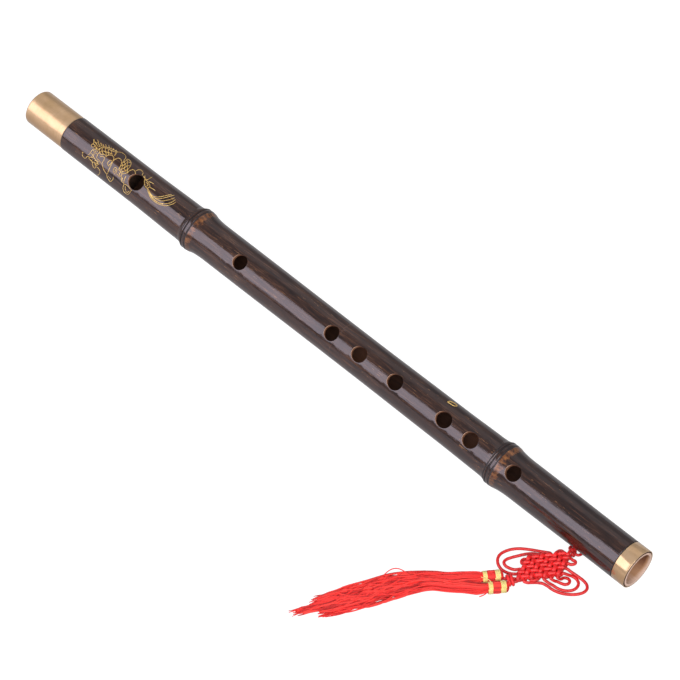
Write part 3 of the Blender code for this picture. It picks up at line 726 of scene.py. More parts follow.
def makeHead(name, node, side, s, material):
    mesh = sweepMesh(name, headStrands(side, s), s["strandRadius"], strandSides)
    tintStrands(mesh, side + 20)
    top, alongAxis, rightAxis = headFrame(side)
    turn = Matrix((rightAxis, np.cross(alongAxis, rightAxis), alongAxis)).transposed().to_4x4()
    with editing(mesh) as bm:   # a core fills the head between its strands
        profile = [(radius * mm, 0, along * mm) for radius, along in s["coreForm"]]
        core = spinProfile(bm, profile, s["coreSteps"], closed=False, centre=(0, 0, 0), axis=(0, 0, 1))
        faces = list({face for vertex in core for face in vertex.link_faces})
        bmesh.ops.recalc_face_normals(bm, faces=faces)
        bmesh.ops.transform(bm, matrix=Matrix.Translation(Vector(top * mm)) @ turn, verts=core)
    mesh.shade_smooth()
    return addPiece(name, mesh, "pendant", [node], material)


def bandRoute(side, centre, width, s):
    steps = s["threadTurns"] * s["threadSteps"]
    points = []
    for index in range(steps + 1):
        share = index / steps
        angle = fullTurn * s["threadTurns"] * share + 0.7
        along = centre + (share - 0.5) * (width - 0.2) + 0.03 * math.sin(angle * 0.5 + 1)
        points.append(aroundHead(side, s["threadPlace"] + 0.04 * math.sin(angle * 1.7), along, angle))
    return points


def silkThread(name, s):
    material, tree, shader = newMaterial(name, Roughness=0.35, Specular_IOR_Level=0.6, Sheen_Weight=0.3)
    ply = twisted(tree, s["threadTwists"])
    # the ply twist shades the colour: painted shade in its grooves and painted highlight on its ridges,
    # beside random mottle
    shade = timesPlus(tree, stretchedNoise(tree, 700), 0.6, times(tree, ply, 0.4))
    stops = ((0.2, s["threadDark"]), (0.5, s["threadColor"]), (0.85, s["threadLight"]))
    setShader(tree, shader, Base_Color=rampNode(tree, shade, stops))
    addBump(tree, shader, ply, 0.4, 0.00005)
    return material


skirtSetup = {
    "strands": 60,
    "strandRadius": 0.46,
    "pointStep": 1.25,
    "seed": 11,
    "spacing": 2.39996,   # the turn that spreads strands evenly over a bundle
    "reach": 1.1,
    "shorter": (0.15, 0.19),
    "locks": 4,
    "lockCling": 0.62,
    "tipsFrom": 0.72,
    "mingleLength": 22.0,
    "narrowTip": 8,
    "startRadius": 2.15,
    "startStep": 1.2,
    "edge": 1.04,
    "wander": 0.3,
    "mingle": 0.4,
    "fill": (1.12, 0.36),   # how far the strands fill the width, apart and where mingled
    "thick": (0.84, 1.12),
    "waves": ((0.06, 0.17), (0.3, 0.62), (0.22, 0.46), (0.08, 0.2)),   # how fast and how wide, twice
    "lifts": ((0.07, 0.15), (0.3, 0.6), (0.25, 0.45), (0.1, 0.25)),
    "stray": (((141.5, -77.6, 3.0), (138.6, -77.6, 3.6), (135.0, -78.1, 4.1), (132.7, -78.8, 4.4),
               (130.8, -80.0, 4.4), (129.6, -81.8, 4.2), (129.0, -84.4, 3.8), (129.0, -88.5, 3.2),
               (128.2, -93.0, 2.6)),
              ((173.0, -54.2, 2.2), (172.4, -55.8, 1.6), (172.1, -57.3, 1.0), (171.8, -59.0, 0.75),
               (170.9, -61.2, 0.62))),
    "strayWidth": 0.62,
}


def ripple(place, waves):
    return sum(size * math.sin(place * rate + phase) for rate, phase, size in waves)


def skirtRoutes(side, s):
    route = smoothCurve(tassel["route"])   # place x and y, width and height of the pair
    along = arcLengths(route[:, :2])
    length = along[-1]
    rng = random.Random(s["seed"] + side)
    routes, widths = [], []
    sideSign = -1 if side == 0 else 1
    start = tassel["headLength"] - s["startStep"]
    apart, together = s["fill"]
    backShort, frontShort = s["shorter"]

    def drawWaves(ranges):
        return [(rng.uniform(*rate), rng.uniform(0, 6.28), rng.uniform(*size))
                for rate, size in zip(ranges[::2], ranges[1::2])]

    for number in range(s["strands"]):
        radius = math.sqrt((number + 0.5) / s["strands"])
        angle = number * s["spacing"] + rng.uniform(-0.2, 0.2)
        right0, up0 = radius * math.cos(angle), radius * math.sin(angle)
        waves, lifts = drawWaves(s["waves"]), drawWaves(s["lifts"])
        outside = sideSign * 0.5 + 0.5 * right0   # -1 at the back edge of the pair, 1 at its front
        shorter = frontShort * clamp(outside - 0.05) + backShort * clamp(-outside - 0.1)
        lock = (math.floor((right0 * 0.5 + 0.5) * s["locks"] * 0.999) + 0.5) / s["locks"] * 2 - 1
        lockShift = 0.035 * math.sin(lock * 9 + side * 2)
        reach = s["reach"] - shorter + lockShift - abs(rng.gauss(0, 0.035))
        count = round(length * reach / s["pointStep"])
        points = [aroundHead(side, s["startRadius"] * radius, start + index * s["startStep"], angle)
                  for index in range(2)]
        for index in range(2, count + 1):
            place = length * reach * index / count
            spot = min(place, length)
            x, y, width, height = (np.interp(spot, along, column) for column in route.T)
            behind, ahead = resample(route[:, :2], [max(0.0, spot - 0.5), min(length, spot + 0.5)])
            heading = (ahead - behind) / np.linalg.norm(ahead - behind)
            across = np.array([-heading[1], heading[0]])
            loose = clamp(place / length * 1.5)
            right = right0 + loose * ripple(place, waves)
            right *= 1 + s["wander"] * clamp(up0 * 2) * loose   # strands on top wander the most
            up = up0 + loose * ripple(place, lifts)
            tip = ease(clamp((place / (length * reach) - s["tipsFrom"]) / (1 - s["tipsFrom"])))
            right += (lock - right) * s["lockCling"] * tip   # tips cling in locks
            size = math.hypot(right, up)
            if size > s["edge"]:
                right, up = right / size * s["edge"], up / size * s["edge"]
            halfWidth = width / 4 - s["strandRadius"] * 0.7
            mingled = ease(clamp(place / s["mingleLength"]))   # the two skirts run together below the heads
            offset = sideSign * width / 4 * (1 - s["mingle"] * mingled)
            plan = np.array([x, y]) + across * (offset + halfWidth * (apart + together * mingled) * right)
            plan = plan + heading * (place - spot)
            level = height / 2 + (height / 2 - s["strandRadius"] * 0.9) * up
            points.append(np.array([plan[0], plan[1], max(s["strandRadius"] + 0.03, level)]))
        strandLine = evenly(points, s["pointStep"], detail=6)
        thick = rng.uniform(*s["thick"])
        left = s["narrowTip"] - len(strandLine)   # the last points are drawn to a narrow tip
        routes.append(strandLine)
        widths.append([thick * (1 - 0.6 * ease(clamp((step + left) / s["narrowTip"])))
                       for step in range(len(strandLine))])
    routes.append(evenly(s["stray"][side], 0.8))
    widths.append([s["strayWidth"]] * len(routes[-1]))
    return routes, widths


yarnFinish = softYarn("redYarn", yarnLook["color"], yarnLook["twists"])
headYarn = softYarn("headYarn", yarnLook["color"], yarnLook["headTwists"])
threadFinish = silkThread("yellowThread", headSetup)
for side, sideName in enumerate(("Left", "Right")):
    nodeSide = sideName.lower()
    node = "tassel_head_" + nodeSide
    makeHead("tasselHead" + sideName, node, side, headSetup, headYarn)
    for level, centre, width in zip(("Upper", "Lower"), tassel["bands"], headSetup["bandWidths"]):
        routes = [bandRoute(side, centre, width, headSetup)]
        if (sideName, level) == ("Left", "Lower"):
            routes.append(evenly(headSetup["looseThread"], cordStep))
        mesh = sweepMesh("band", routes, headSetup["threadRadius"], strandSides)
        node = f"tassel_band_{nodeSide}_{level.lower()}"
        addPiece("threadBand" + sideName + level, mesh, "pendant",
                                     [node], threadFinish)
    routes, widths = skirtRoutes(side, skirtSetup)
    mesh = sweepMesh("skirt", routes, skirtSetup["strandRadius"], strandSides, widths)
    tintStrands(mesh, side + 5)
    addPiece("tasselSkirt" + sideName, mesh, "pendant", ["tassel_skirt_" + nodeSide], yarnFinish)
print("tassels made")


# Bamboo tube

tube = {
    "nodes": (-95.6, 127.8),
    "nodeRadius": tubeHigh.y / mm,
    "bore": 8.6,
    "mouth": 8.95,
    "mouthLength": 12.0,
    "ferrule": 29.0,
    "ferruleRadius": 10.4,
    "ferruleWall": 0.4,
    "ringRadius": 11.25,
    "ringWall": 0.45,
    "ringLength": 8.0,
    "ringSetback": 0.2,
    "fit": 0.3,
    "roll": 29.5,
    "holeWidth": 8.6,
    "blowHole": (-136.7, 10.2, 9.0),
    "membraneHole": (-56.0, 8.8, 8.5),
    "fingerHoles": ((12.4, 8.7), (32.6, 9.3), (58.5, 9.4), (93.2, 9.8), (111.9, 9.4), (141.6, 8.9)),
    "cordHoleWidth": 4.0,
    "girth": ((0, 11.2), (20, 11.2), (75, 11.42), (97, 11.5), (130, 11.15), (190, 10.92),
              (300, 11.2), (322, 11.15), (360, 10.7), (443.5, 10.55)),
    "nodeForm": ((-6.0, 0.0), (-3.0, 0.12), (-1.6, 0.4), (-1.0, 0.55), (-0.75, 0.42), (-0.5, 0.45),
                 (-0.2, 0.9), (0.15, 1.0), (0.55, 0.96), (0.85, 0.62), (1.2, 0.6), (1.5, 0.92), (2.2, 1.0),
                 (3.0, 0.97), (3.25, 0.76), (3.55, 0.74), (3.9, 0.88), (4.4, 0.87), (5.2, 0.72), (6.6, 0.46),
                 (8.6, 0.24), (11.5, 0.08), (14.0, 0.0)),
    "lipJag": ((0.16, 5, 0), (0.3, 1.2, 9)),   # size, pace and shift of each ragged wave
    "steps": 96,
    "stationGap": 2.4,
    "lipBefore": (-6.0, -4.5, -3.6),
    "lipFine": (-3.0, 4.9, 0.25),
    "lipCoarse": (5.3, 14.4, 0.8),
    "lipClear": (-7, 15.4),
    "bigHole": {"half": 7.0, "cells": 6, "around": 9},
    "smallHole": {"half": 3.6, "cells": 4, "around": 4},
    # bore colour: bare-wood tone with painted shade towards the blow hole, and painted light beside the
    # second and fifth finger holes, towards the open tail end and on one side there
    "inside": {"tone": 0.46, "darker": 0.1, "darkFrom": -120, "darkFade": 8, "palerHoles": (1, 4),
               "paler": 0.12, "palerReach": 9, "mouthFrom": 176, "mouthFade": 22, "mouth": 0.22,
               "sideLight": 0.2, "sideLightTurn": 140},
    "aboutRadius": 11,
    "betweenWalls": 9.5,
    "surfaceFrom": 10.2,
    "seatFrom": 10.3,
    "seatWear": 0.35,
    "bareFrom": 0.34,
    "grooves": ((-0.65, 0.42), (1.02, 0.4), (3.4, 0.4)),
}
turnStep = 360 / tube["steps"]


def girth(x):
    distance = halfLength - x
    for (near, nearRadius), (far, farRadius) in zip(tube["girth"], tube["girth"][1:]):
        if distance <= far:
            return nearRadius + (farRadius - nearRadius) * ease((distance - near) / (far - near))
    return tube["girth"][-1][1]


def pastLip(x, turnDeg, lip):
    angle = math.radians(turnDeg)
    jag = sum(size * noise.noise(Vector((math.cos(angle) * pace, math.sin(angle) * pace, lip + shift)))
              for size, pace, shift in tube["lipJag"])
    return x - lip - jag * clamp((x - lip + 3) / 3) * clamp((14 - x + lip) / 6)


def outerRadius(x, turnDeg):
    angle = math.radians(turnDeg)
    swirl = Vector((math.cos(angle) * 1.6, math.sin(angle) * 1.6, x * 0.02))
    radius = girth(x) + 0.05 * noise.noise(swirl)
    for lip in tube["nodes"]:
        offset = pastLip(x, turnDeg, lip)
        form = tube["nodeForm"]
        if form[0][0] < offset < form[-1][0]:
            share = np.interp(offset, [place for place, _ in form], [height for _, height in form])
            radius += (tube["nodeRadius"] - girth(x) - 0.04) * share
    return radius


def tubePoint(x, turnDeg, radius):
    return Vector(aroundTube(x, turnDeg, radius)) * mm


def turnOf(place):
    return math.degrees(math.atan2(-place.y / mm, place.z / mm - axisHeight))


def axisDistance(place):
    return math.hypot(place.y / mm, place.z / mm - axisHeight)


def holeList():   # place, roll, length, width and the window cut for each
    fingers = [(x, length, tube["holeWidth"]) for x, length in tube["fingerHoles"]]
    holes = [(x, tube["roll"], length, width, tube["bigHole"])
             for x, length, width in [tube["blowHole"], tube["membraneHole"], *fingers]]
    width = tube["cordHoleWidth"]
    return holes + [(hanger["hole"], roll, width, width, tube["smallHole"]) for roll in hanger["rolls"]]


def tubeStations(head, tail):
    windows = {(x, window["half"], window["cells"]) for x, _, _, _, window in holeList()}
    kept = []
    for x, half, cells in windows:
        kept += [x - half + 2 * half * index / cells for index in range(cells + 1)]

    def free(x, gap):
        return all(abs(x - centre) > half + gap for centre, half, _ in windows)

    for lip in tube["nodes"]:
        offsets = [*tube["lipBefore"], *np.arange(*tube["lipFine"]), *np.arange(*tube["lipCoarse"])]
        kept += [lip + offset for offset in offsets if free(lip + offset, 0.3)]
    count = round((tail - head) / tube["stationGap"])
    low, high = tube["lipClear"]
    for x in np.linspace(head, tail, count + 1)[1:-1]:
        if free(x, 0.8) and all(not low < x - lip < high for lip in tube["nodes"]):
            kept.append(x)
    return [head] + sorted(kept) + [tail]


def plain(angle):
    return 0.0


def wornAndLit(angle):   # bare edge on the head side: partly bare wood, partly a painted highlight on the edge that faces the lamps
    return 0.9 * clamp(0.3 - 0.9 * math.cos(angle) + 0.3 * math.sin(angle))


def wornLittle(angle):
    return 0.2


# hole wall: bare wood tone, lighter towards the head side as painted light on the part that faces the lamps
def wall(angle):
    return 0.5 + 0.16 * clamp(-math.cos(angle))


# How far each ring stands out from the hole, how deep it lies, and how worn it is, with painted light on the
# head-side edge and wall
bigRings = ((1.5, 0.0, plain), (0.5, 0.0, plain), (0.16, 0.01, plain), (0.08, 0.04, wornAndLit), (0.0, 0.14, wornAndLit),
            (-0.01, 0.24, wall), (-0.01, 1.1, wall))
smallRings = ((0.5, 0.0, plain), (0.2, 0.02, plain), (0.05, 0.12, wornLittle), (0.0, 0.36, wall))


def cutHole(bm, hole, wearAndLightLayer):
    x0, roll, length, width, window = hole
    half = window["half"]
    centreTurn = tube["roll"] + round((roll - tube["roll"]) / turnStep) * turnStep
    halfTurn = window["around"] * turnStep

    def offTurn(place):
        return (turnOf(place) - centreTurn + 180) % 360 - 180

    inWindow = []
    for face in bm.faces:
        middle = face.calc_center_median()
        if abs(middle.x / mm - x0) < half and abs(offTurn(middle)) < halfTurn:
            inWindow.append(face)
    bmesh.ops.delete(bm, geom=inWindow, context="FACES")
    rim = [edge for edge in bm.edges if edge.is_boundary]
    outer = [edge for edge in rim if axisDistance(edge.verts[0].co) > tube["betweenWalls"]]
    inner = [edge for edge in rim if edge not in outer]
    slant = math.radians(roll)
    normal = Vector((0, -math.sin(slant), math.cos(slant)))
    sideways = Vector((0, -math.cos(slant), -math.sin(slant)))
    middle = Vector((x0, 0, axisHeight))

    def shapeRing(edges, grow, drop, wearAndLight, onBore=False):
        rounds = {}
        for vertex in {vertex for edge in edges for vertex in edge.verts}:
            rounds[vertex] = math.atan2(offTurn(vertex.co) / halfTurn, (vertex.co.x / mm - x0) / half)
        result = bmesh.ops.extrude_edge_only(bm, edges=edges)["geom"]
        for vertex in [item for item in result if isinstance(item, bmesh.types.BMVert)]:
            others = [edge.other_vert(vertex) for edge in vertex.link_edges]
            old = min((other for other in others if other in rounds),
                      key=lambda other: (other.co - vertex.co).length)
            angle = rounds[old]
            along = (length / 2 + grow) * math.cos(angle)
            side = (width / 2 + grow) * math.sin(angle)
            around = roll + math.degrees(math.asin(clamp(side / tube["aboutRadius"], -1, 1)))
            radius = tube["bore"] if onBore else outerRadius(x0 + along, around)
            height = math.sqrt(radius * radius - side * side) - drop
            vertex.co = (middle + Vector((along, 0, 0)) + sideways * side + normal * height) * mm
            vertex[wearAndLightLayer] = wearAndLight(angle)
        return [item for item in result if isinstance(item, bmesh.types.BMEdge) and item.is_boundary]

    for grow, drop, wearAndLight in bigRings if window is tube["bigHole"] else smallRings:
        outer = shapeRing(outer, grow, drop, wearAndLight)
    inner = shapeRing(inner, 0.25, 0.0, wall, onBore=True)
    inner = shapeRing(inner, 0.0, -0.35, wall, onBore=True)
    bmesh.ops.bridge_loops(bm, edges=outer + inner)


# bore colour: bare-wood tone plus painted shade towards the blow hole and painted light near two finger
# holes, the open tail end and one side there
def boreToneAndLight(x, turn):
    s = tube["inside"]
    near = -s["darker"] * clamp((s["darkFrom"] - x) / s["darkFade"])
    for number in s["palerHoles"]:
        away = abs(x - tube["fingerHoles"][number][0])
        near = max(near, s["paler"] * clamp(1.6 - away / s["palerReach"]))
    mouth = ease(clamp((x - s["mouthFrom"]) / s["mouthFade"]))
    side = s["mouth"] + s["sideLight"] * math.cos(math.radians(turn - s["sideLightTurn"]))
    return s["tone"] + near + mouth * side


def makeTube(s):
    head = -halfLength + s["ferruleWall"] + s["fit"]
    headSeat = s["ferruleRadius"] - s["ferruleWall"] - s["fit"]
    tailSeat = s["ringRadius"] - s["ringWall"] - s["fit"]
    outerHead = -halfLength + s["ferrule"] + s["fit"]
    outerTail = halfLength - s["ringSetback"] - s["ringLength"] - s["fit"]
    mouthStart = halfLength - s["mouthLength"]
    stations = tubeStations(outerHead, outerTail)
    # From the tail's end face over its rounded edge and the ring's seat, along the outside, and back inside
    profile = [(halfLength, s["mouth"] + 0.12), (halfLength, tailSeat - 0.3),
               (halfLength - 0.06, tailSeat - 0.17), (halfLength - 0.3, tailSeat - 0.04),
               (halfLength - 0.5, tailSeat), (outerTail, tailSeat)]
    profile += [(x, girth(x)) for x in reversed(stations)]
    profile += [(outerHead, headSeat), (head, headSeat), (head, s["bore"])]
    profile += [(x, s["bore"]) for x in stations]
    for x in (mouthStart + 6.4, mouthStart + 9.5, halfLength - 0.12):
        opened = ease(clamp((x - mouthStart) / s["mouthLength"]))
        profile.append((x, s["bore"] + (s["mouth"] - s["bore"]) * opened))
    bm = bmesh.new()
    # bare-wood value for each vertex, which also carries painted light and shade in the bore and on the hole
    # walls
    wearAndLightLayer = bm.verts.layers.float.new("wearAndLight")
    lipLayer = bm.verts.layers.float.new("pastLip")
    spinProfile(bm, [tubePoint(x, s["roll"], radius) for x, radius in profile], s["steps"])
    for vertex in bm.verts:
        x = vertex.co.x / mm
        radius = axisDistance(vertex.co)
        turn = turnOf(vertex.co)
        if outerHead - 0.01 < x < outerTail + 0.01 and radius > s["surfaceFrom"]:
            onSeat = abs(radius - headSeat) < 0.001 or abs(radius - tailSeat) < 0.001
            if not onSeat:
                vertex.co = tubePoint(x, turn, outerRadius(x, turn))
        elif radius > s["seatFrom"]:
            vertex[wearAndLightLayer] = s["seatWear"]
        elif radius > s["mouth"] - 0.1 and x > halfLength - 0.3:
            vertex[wearAndLightLayer] = 1.0
        else:
            vertex[wearAndLightLayer] = boreToneAndLight(x, turn)
    for hole in holeList():
        cutHole(bm, hole, wearAndLightLayer)
    for vertex in bm.verts:
        x = vertex.co.x / mm
        lip = min(s["nodes"], key=lambda place: abs(x - place))
        vertex[lipLayer] = clamp(pastLip(x, turnOf(vertex.co), lip), -30, 30)   # mm past the nearer lip
    bmesh.ops.recalc_face_normals(bm, faces=bm.faces)
    for face in bm.faces:
        face.material_index = int(all(vertex[wearAndLightLayer] > s["bareFrom"] for vertex in face.verts))
    openEdges = [edge for edge in bm.edges if not edge.is_manifold]
    volume = round(bm.calc_volume() / mm ** 3)
    print("tube:", len(bm.faces), "faces,", len(openEdges), "open edges, volume", volume)
    return toMesh(bm, "bambooTube", 35)


bambooLook = {
    "lacquer": ((0.38, (0.010, 0.004, 0.003)), (0.5, (0.035, 0.0138, 0.0078)), (0.68, (0.105, 0.048, 0.026))),
    "fleck": (0.27, 0.135, 0.06),
    "scar": ((0.38, (0.040, 0.014, 0.006)), (0.5, (0.17, 0.060, 0.017)), (0.66, (0.36, 0.145, 0.042))),
    # the groove colour is painted shade for the node's grooves and the brass seams
    "groove": (0.004, 0.002, 0.0015),
    "bare": ((0.40, (0.035, 0.014, 0.008)), (0.62, (0.22, 0.095, 0.05)), (0.8, (0.50, 0.27, 0.15)),
             (0.97, (0.80, 0.57, 0.46))),
    "gloss": 0.1,
    "dulled": 0.55,
    "lacquerIor": 1.8,
    "bareIor": 1.4,
}


def fineLine(tree, value, centre, near, far):   # 1 on a line, 0 away from it
    away = mathNode(tree, "ABSOLUTE", minus(tree, value, centre))
    return minus(tree, 1.0, smoothStep(tree, away, near, far))


def bambooFinish(name, ior, look):
    material, tree, shader = newMaterial(name, IOR=ior, Specular_Tint=(0.98, 0.92, 1.0))
    along, across, up = coordinates(tree, "Object")
    grain = stretchedNoise(tree, (85, 1150, 1150), 4, 0.65)
    cloud = stretchedNoise(tree, (26, 130, 130), 3, 0.6, 4.0)
    tone = timesPlus(tree, grain, 0.75, times(tree, cloud, 0.25))
    tone = timesPlus(tree, smoothStep(tree, along, 0.02, 0.19), -0.05, tone)   # darker towards the tail
    lacquer = rampNode(tree, tone, look["lacquer"])
    fleck = smoothStep(tree, stretchedNoise(tree, (170, 1300, 1300), 3, 0.6, 9.0), 0.62, 0.73)
    patch = smoothStep(tree, stretchedNoise(tree, (40, 110, 110), 2, 0.5, 2.0), 0.45, 0.6)
    lacquer = mixColors(tree, times(tree, fleck, patch), lacquer, look["fleck"])
    offset = attributeValue(tree, "pastLip")
    frayed = timesPlus(tree, stretchedNoise(tree, (60, 480, 480), 4, 0.65, 7.0), 7.0, -3.5)
    enter = smoothStep(tree, timesPlus(tree, frayed, 0.15, offset), 3.9, 4.3)
    leave = smoothStep(tree, mathNode(tree, "ADD", offset, frayed), 6.8, 7.5)
    scars = times(tree, enter, minus(tree, 1.0, leave))
    # painted shade: near-black lines in the node's grooves and at the seams with the brass
    lines = [fineLine(tree, offset, spot, reach * 0.4, reach) for spot, reach in tube["grooves"]]
    for seam in (tube["ferrule"] - halfLength, halfLength - tube["ringSetback"] - tube["ringLength"]):
        lines.append(fineLine(tree, along, seam * mm, 0.35 * mm, 0.8 * mm))   # painted shadow where the brass begins
    grooves = lines[0]
    for line in lines[1:]:
        grooves = larger(tree, grooves, line)
    scarTone = rampNode(tree, stretchedNoise(tree, (190, 440, 440), 4, 0.7, 1.0), look["scar"])
    upper = timesPlus(tree, across, 0.25, minus(tree, up, axisHeight * mm))   # scar colour strongest on the upper side
    bare = smoothStep(tree, timesPlus(tree, cloud, 0.016, upper), -0.006, 0.019)
    ragged = smoothStep(tree, stretchedNoise(tree, (150, 330, 330), 3, 0.6, 11.0), 0.4, 0.55)
    bare = times(tree, timesPlus(tree, bare, 0.75, 0.25), timesPlus(tree, ragged, 0.35, 0.65))
    outside = mixColors(tree, times(tree, scars, bare), lacquer, scarTone)
    outside = mixColors(tree, grooves, outside, look["groove"])
    # the bare-wood value, with painted light and shade in the bore and on the hole walls
    wearAndLight = attributeValue(tree, "wearAndLight")
    wood = stretchedNoise(tree, (60, 500, 500), 4, 0.65, 5.0)
    bareTone = rampNode(tree, timesPlus(tree, wood, 0.16, minus(tree, wearAndLight, 0.08)), look["bare"])
    bareMask = smoothStep(tree, wearAndLight, 0.12, tube["bareFrom"])
    dull = larger(tree, bareMask, larger(tree, times(tree, scars, 0.12), grooves))
    setShader(tree, shader, Base_Color=mixColors(tree, bareMask, outside, bareTone),
              Roughness=timesPlus(tree, dull, look["dulled"], look["gloss"]))
    streak = stretchedNoise(tree, (14, 520, 520), 5, 0.65, 3.0)
    pits = stretchedNoise(tree, (200, 800, 800), 2, 0.5, 8.0)
    relief = timesPlus(tree, grooves, -1.2, timesPlus(tree, pits, 0.35, streak))
    addBump(tree, shader, relief, 0.55, 0.00016)
    return material


bambooTube = addPiece("bambooTube", makeTube(tube), "flute", ["bamboo_tube"],
                      bambooFinish("lacqueredBamboo", bambooLook["lacquerIor"], bambooLook))
bareBamboo = bambooFinish("bareBamboo", bambooLook["bareIor"], bambooLook)
bambooTube.data.materials.append(bareBamboo)   # hole walls, bore and end faces
print("tube made")


# Engraved figure: places along the tube from the blow hole, and round it from the line of the holes

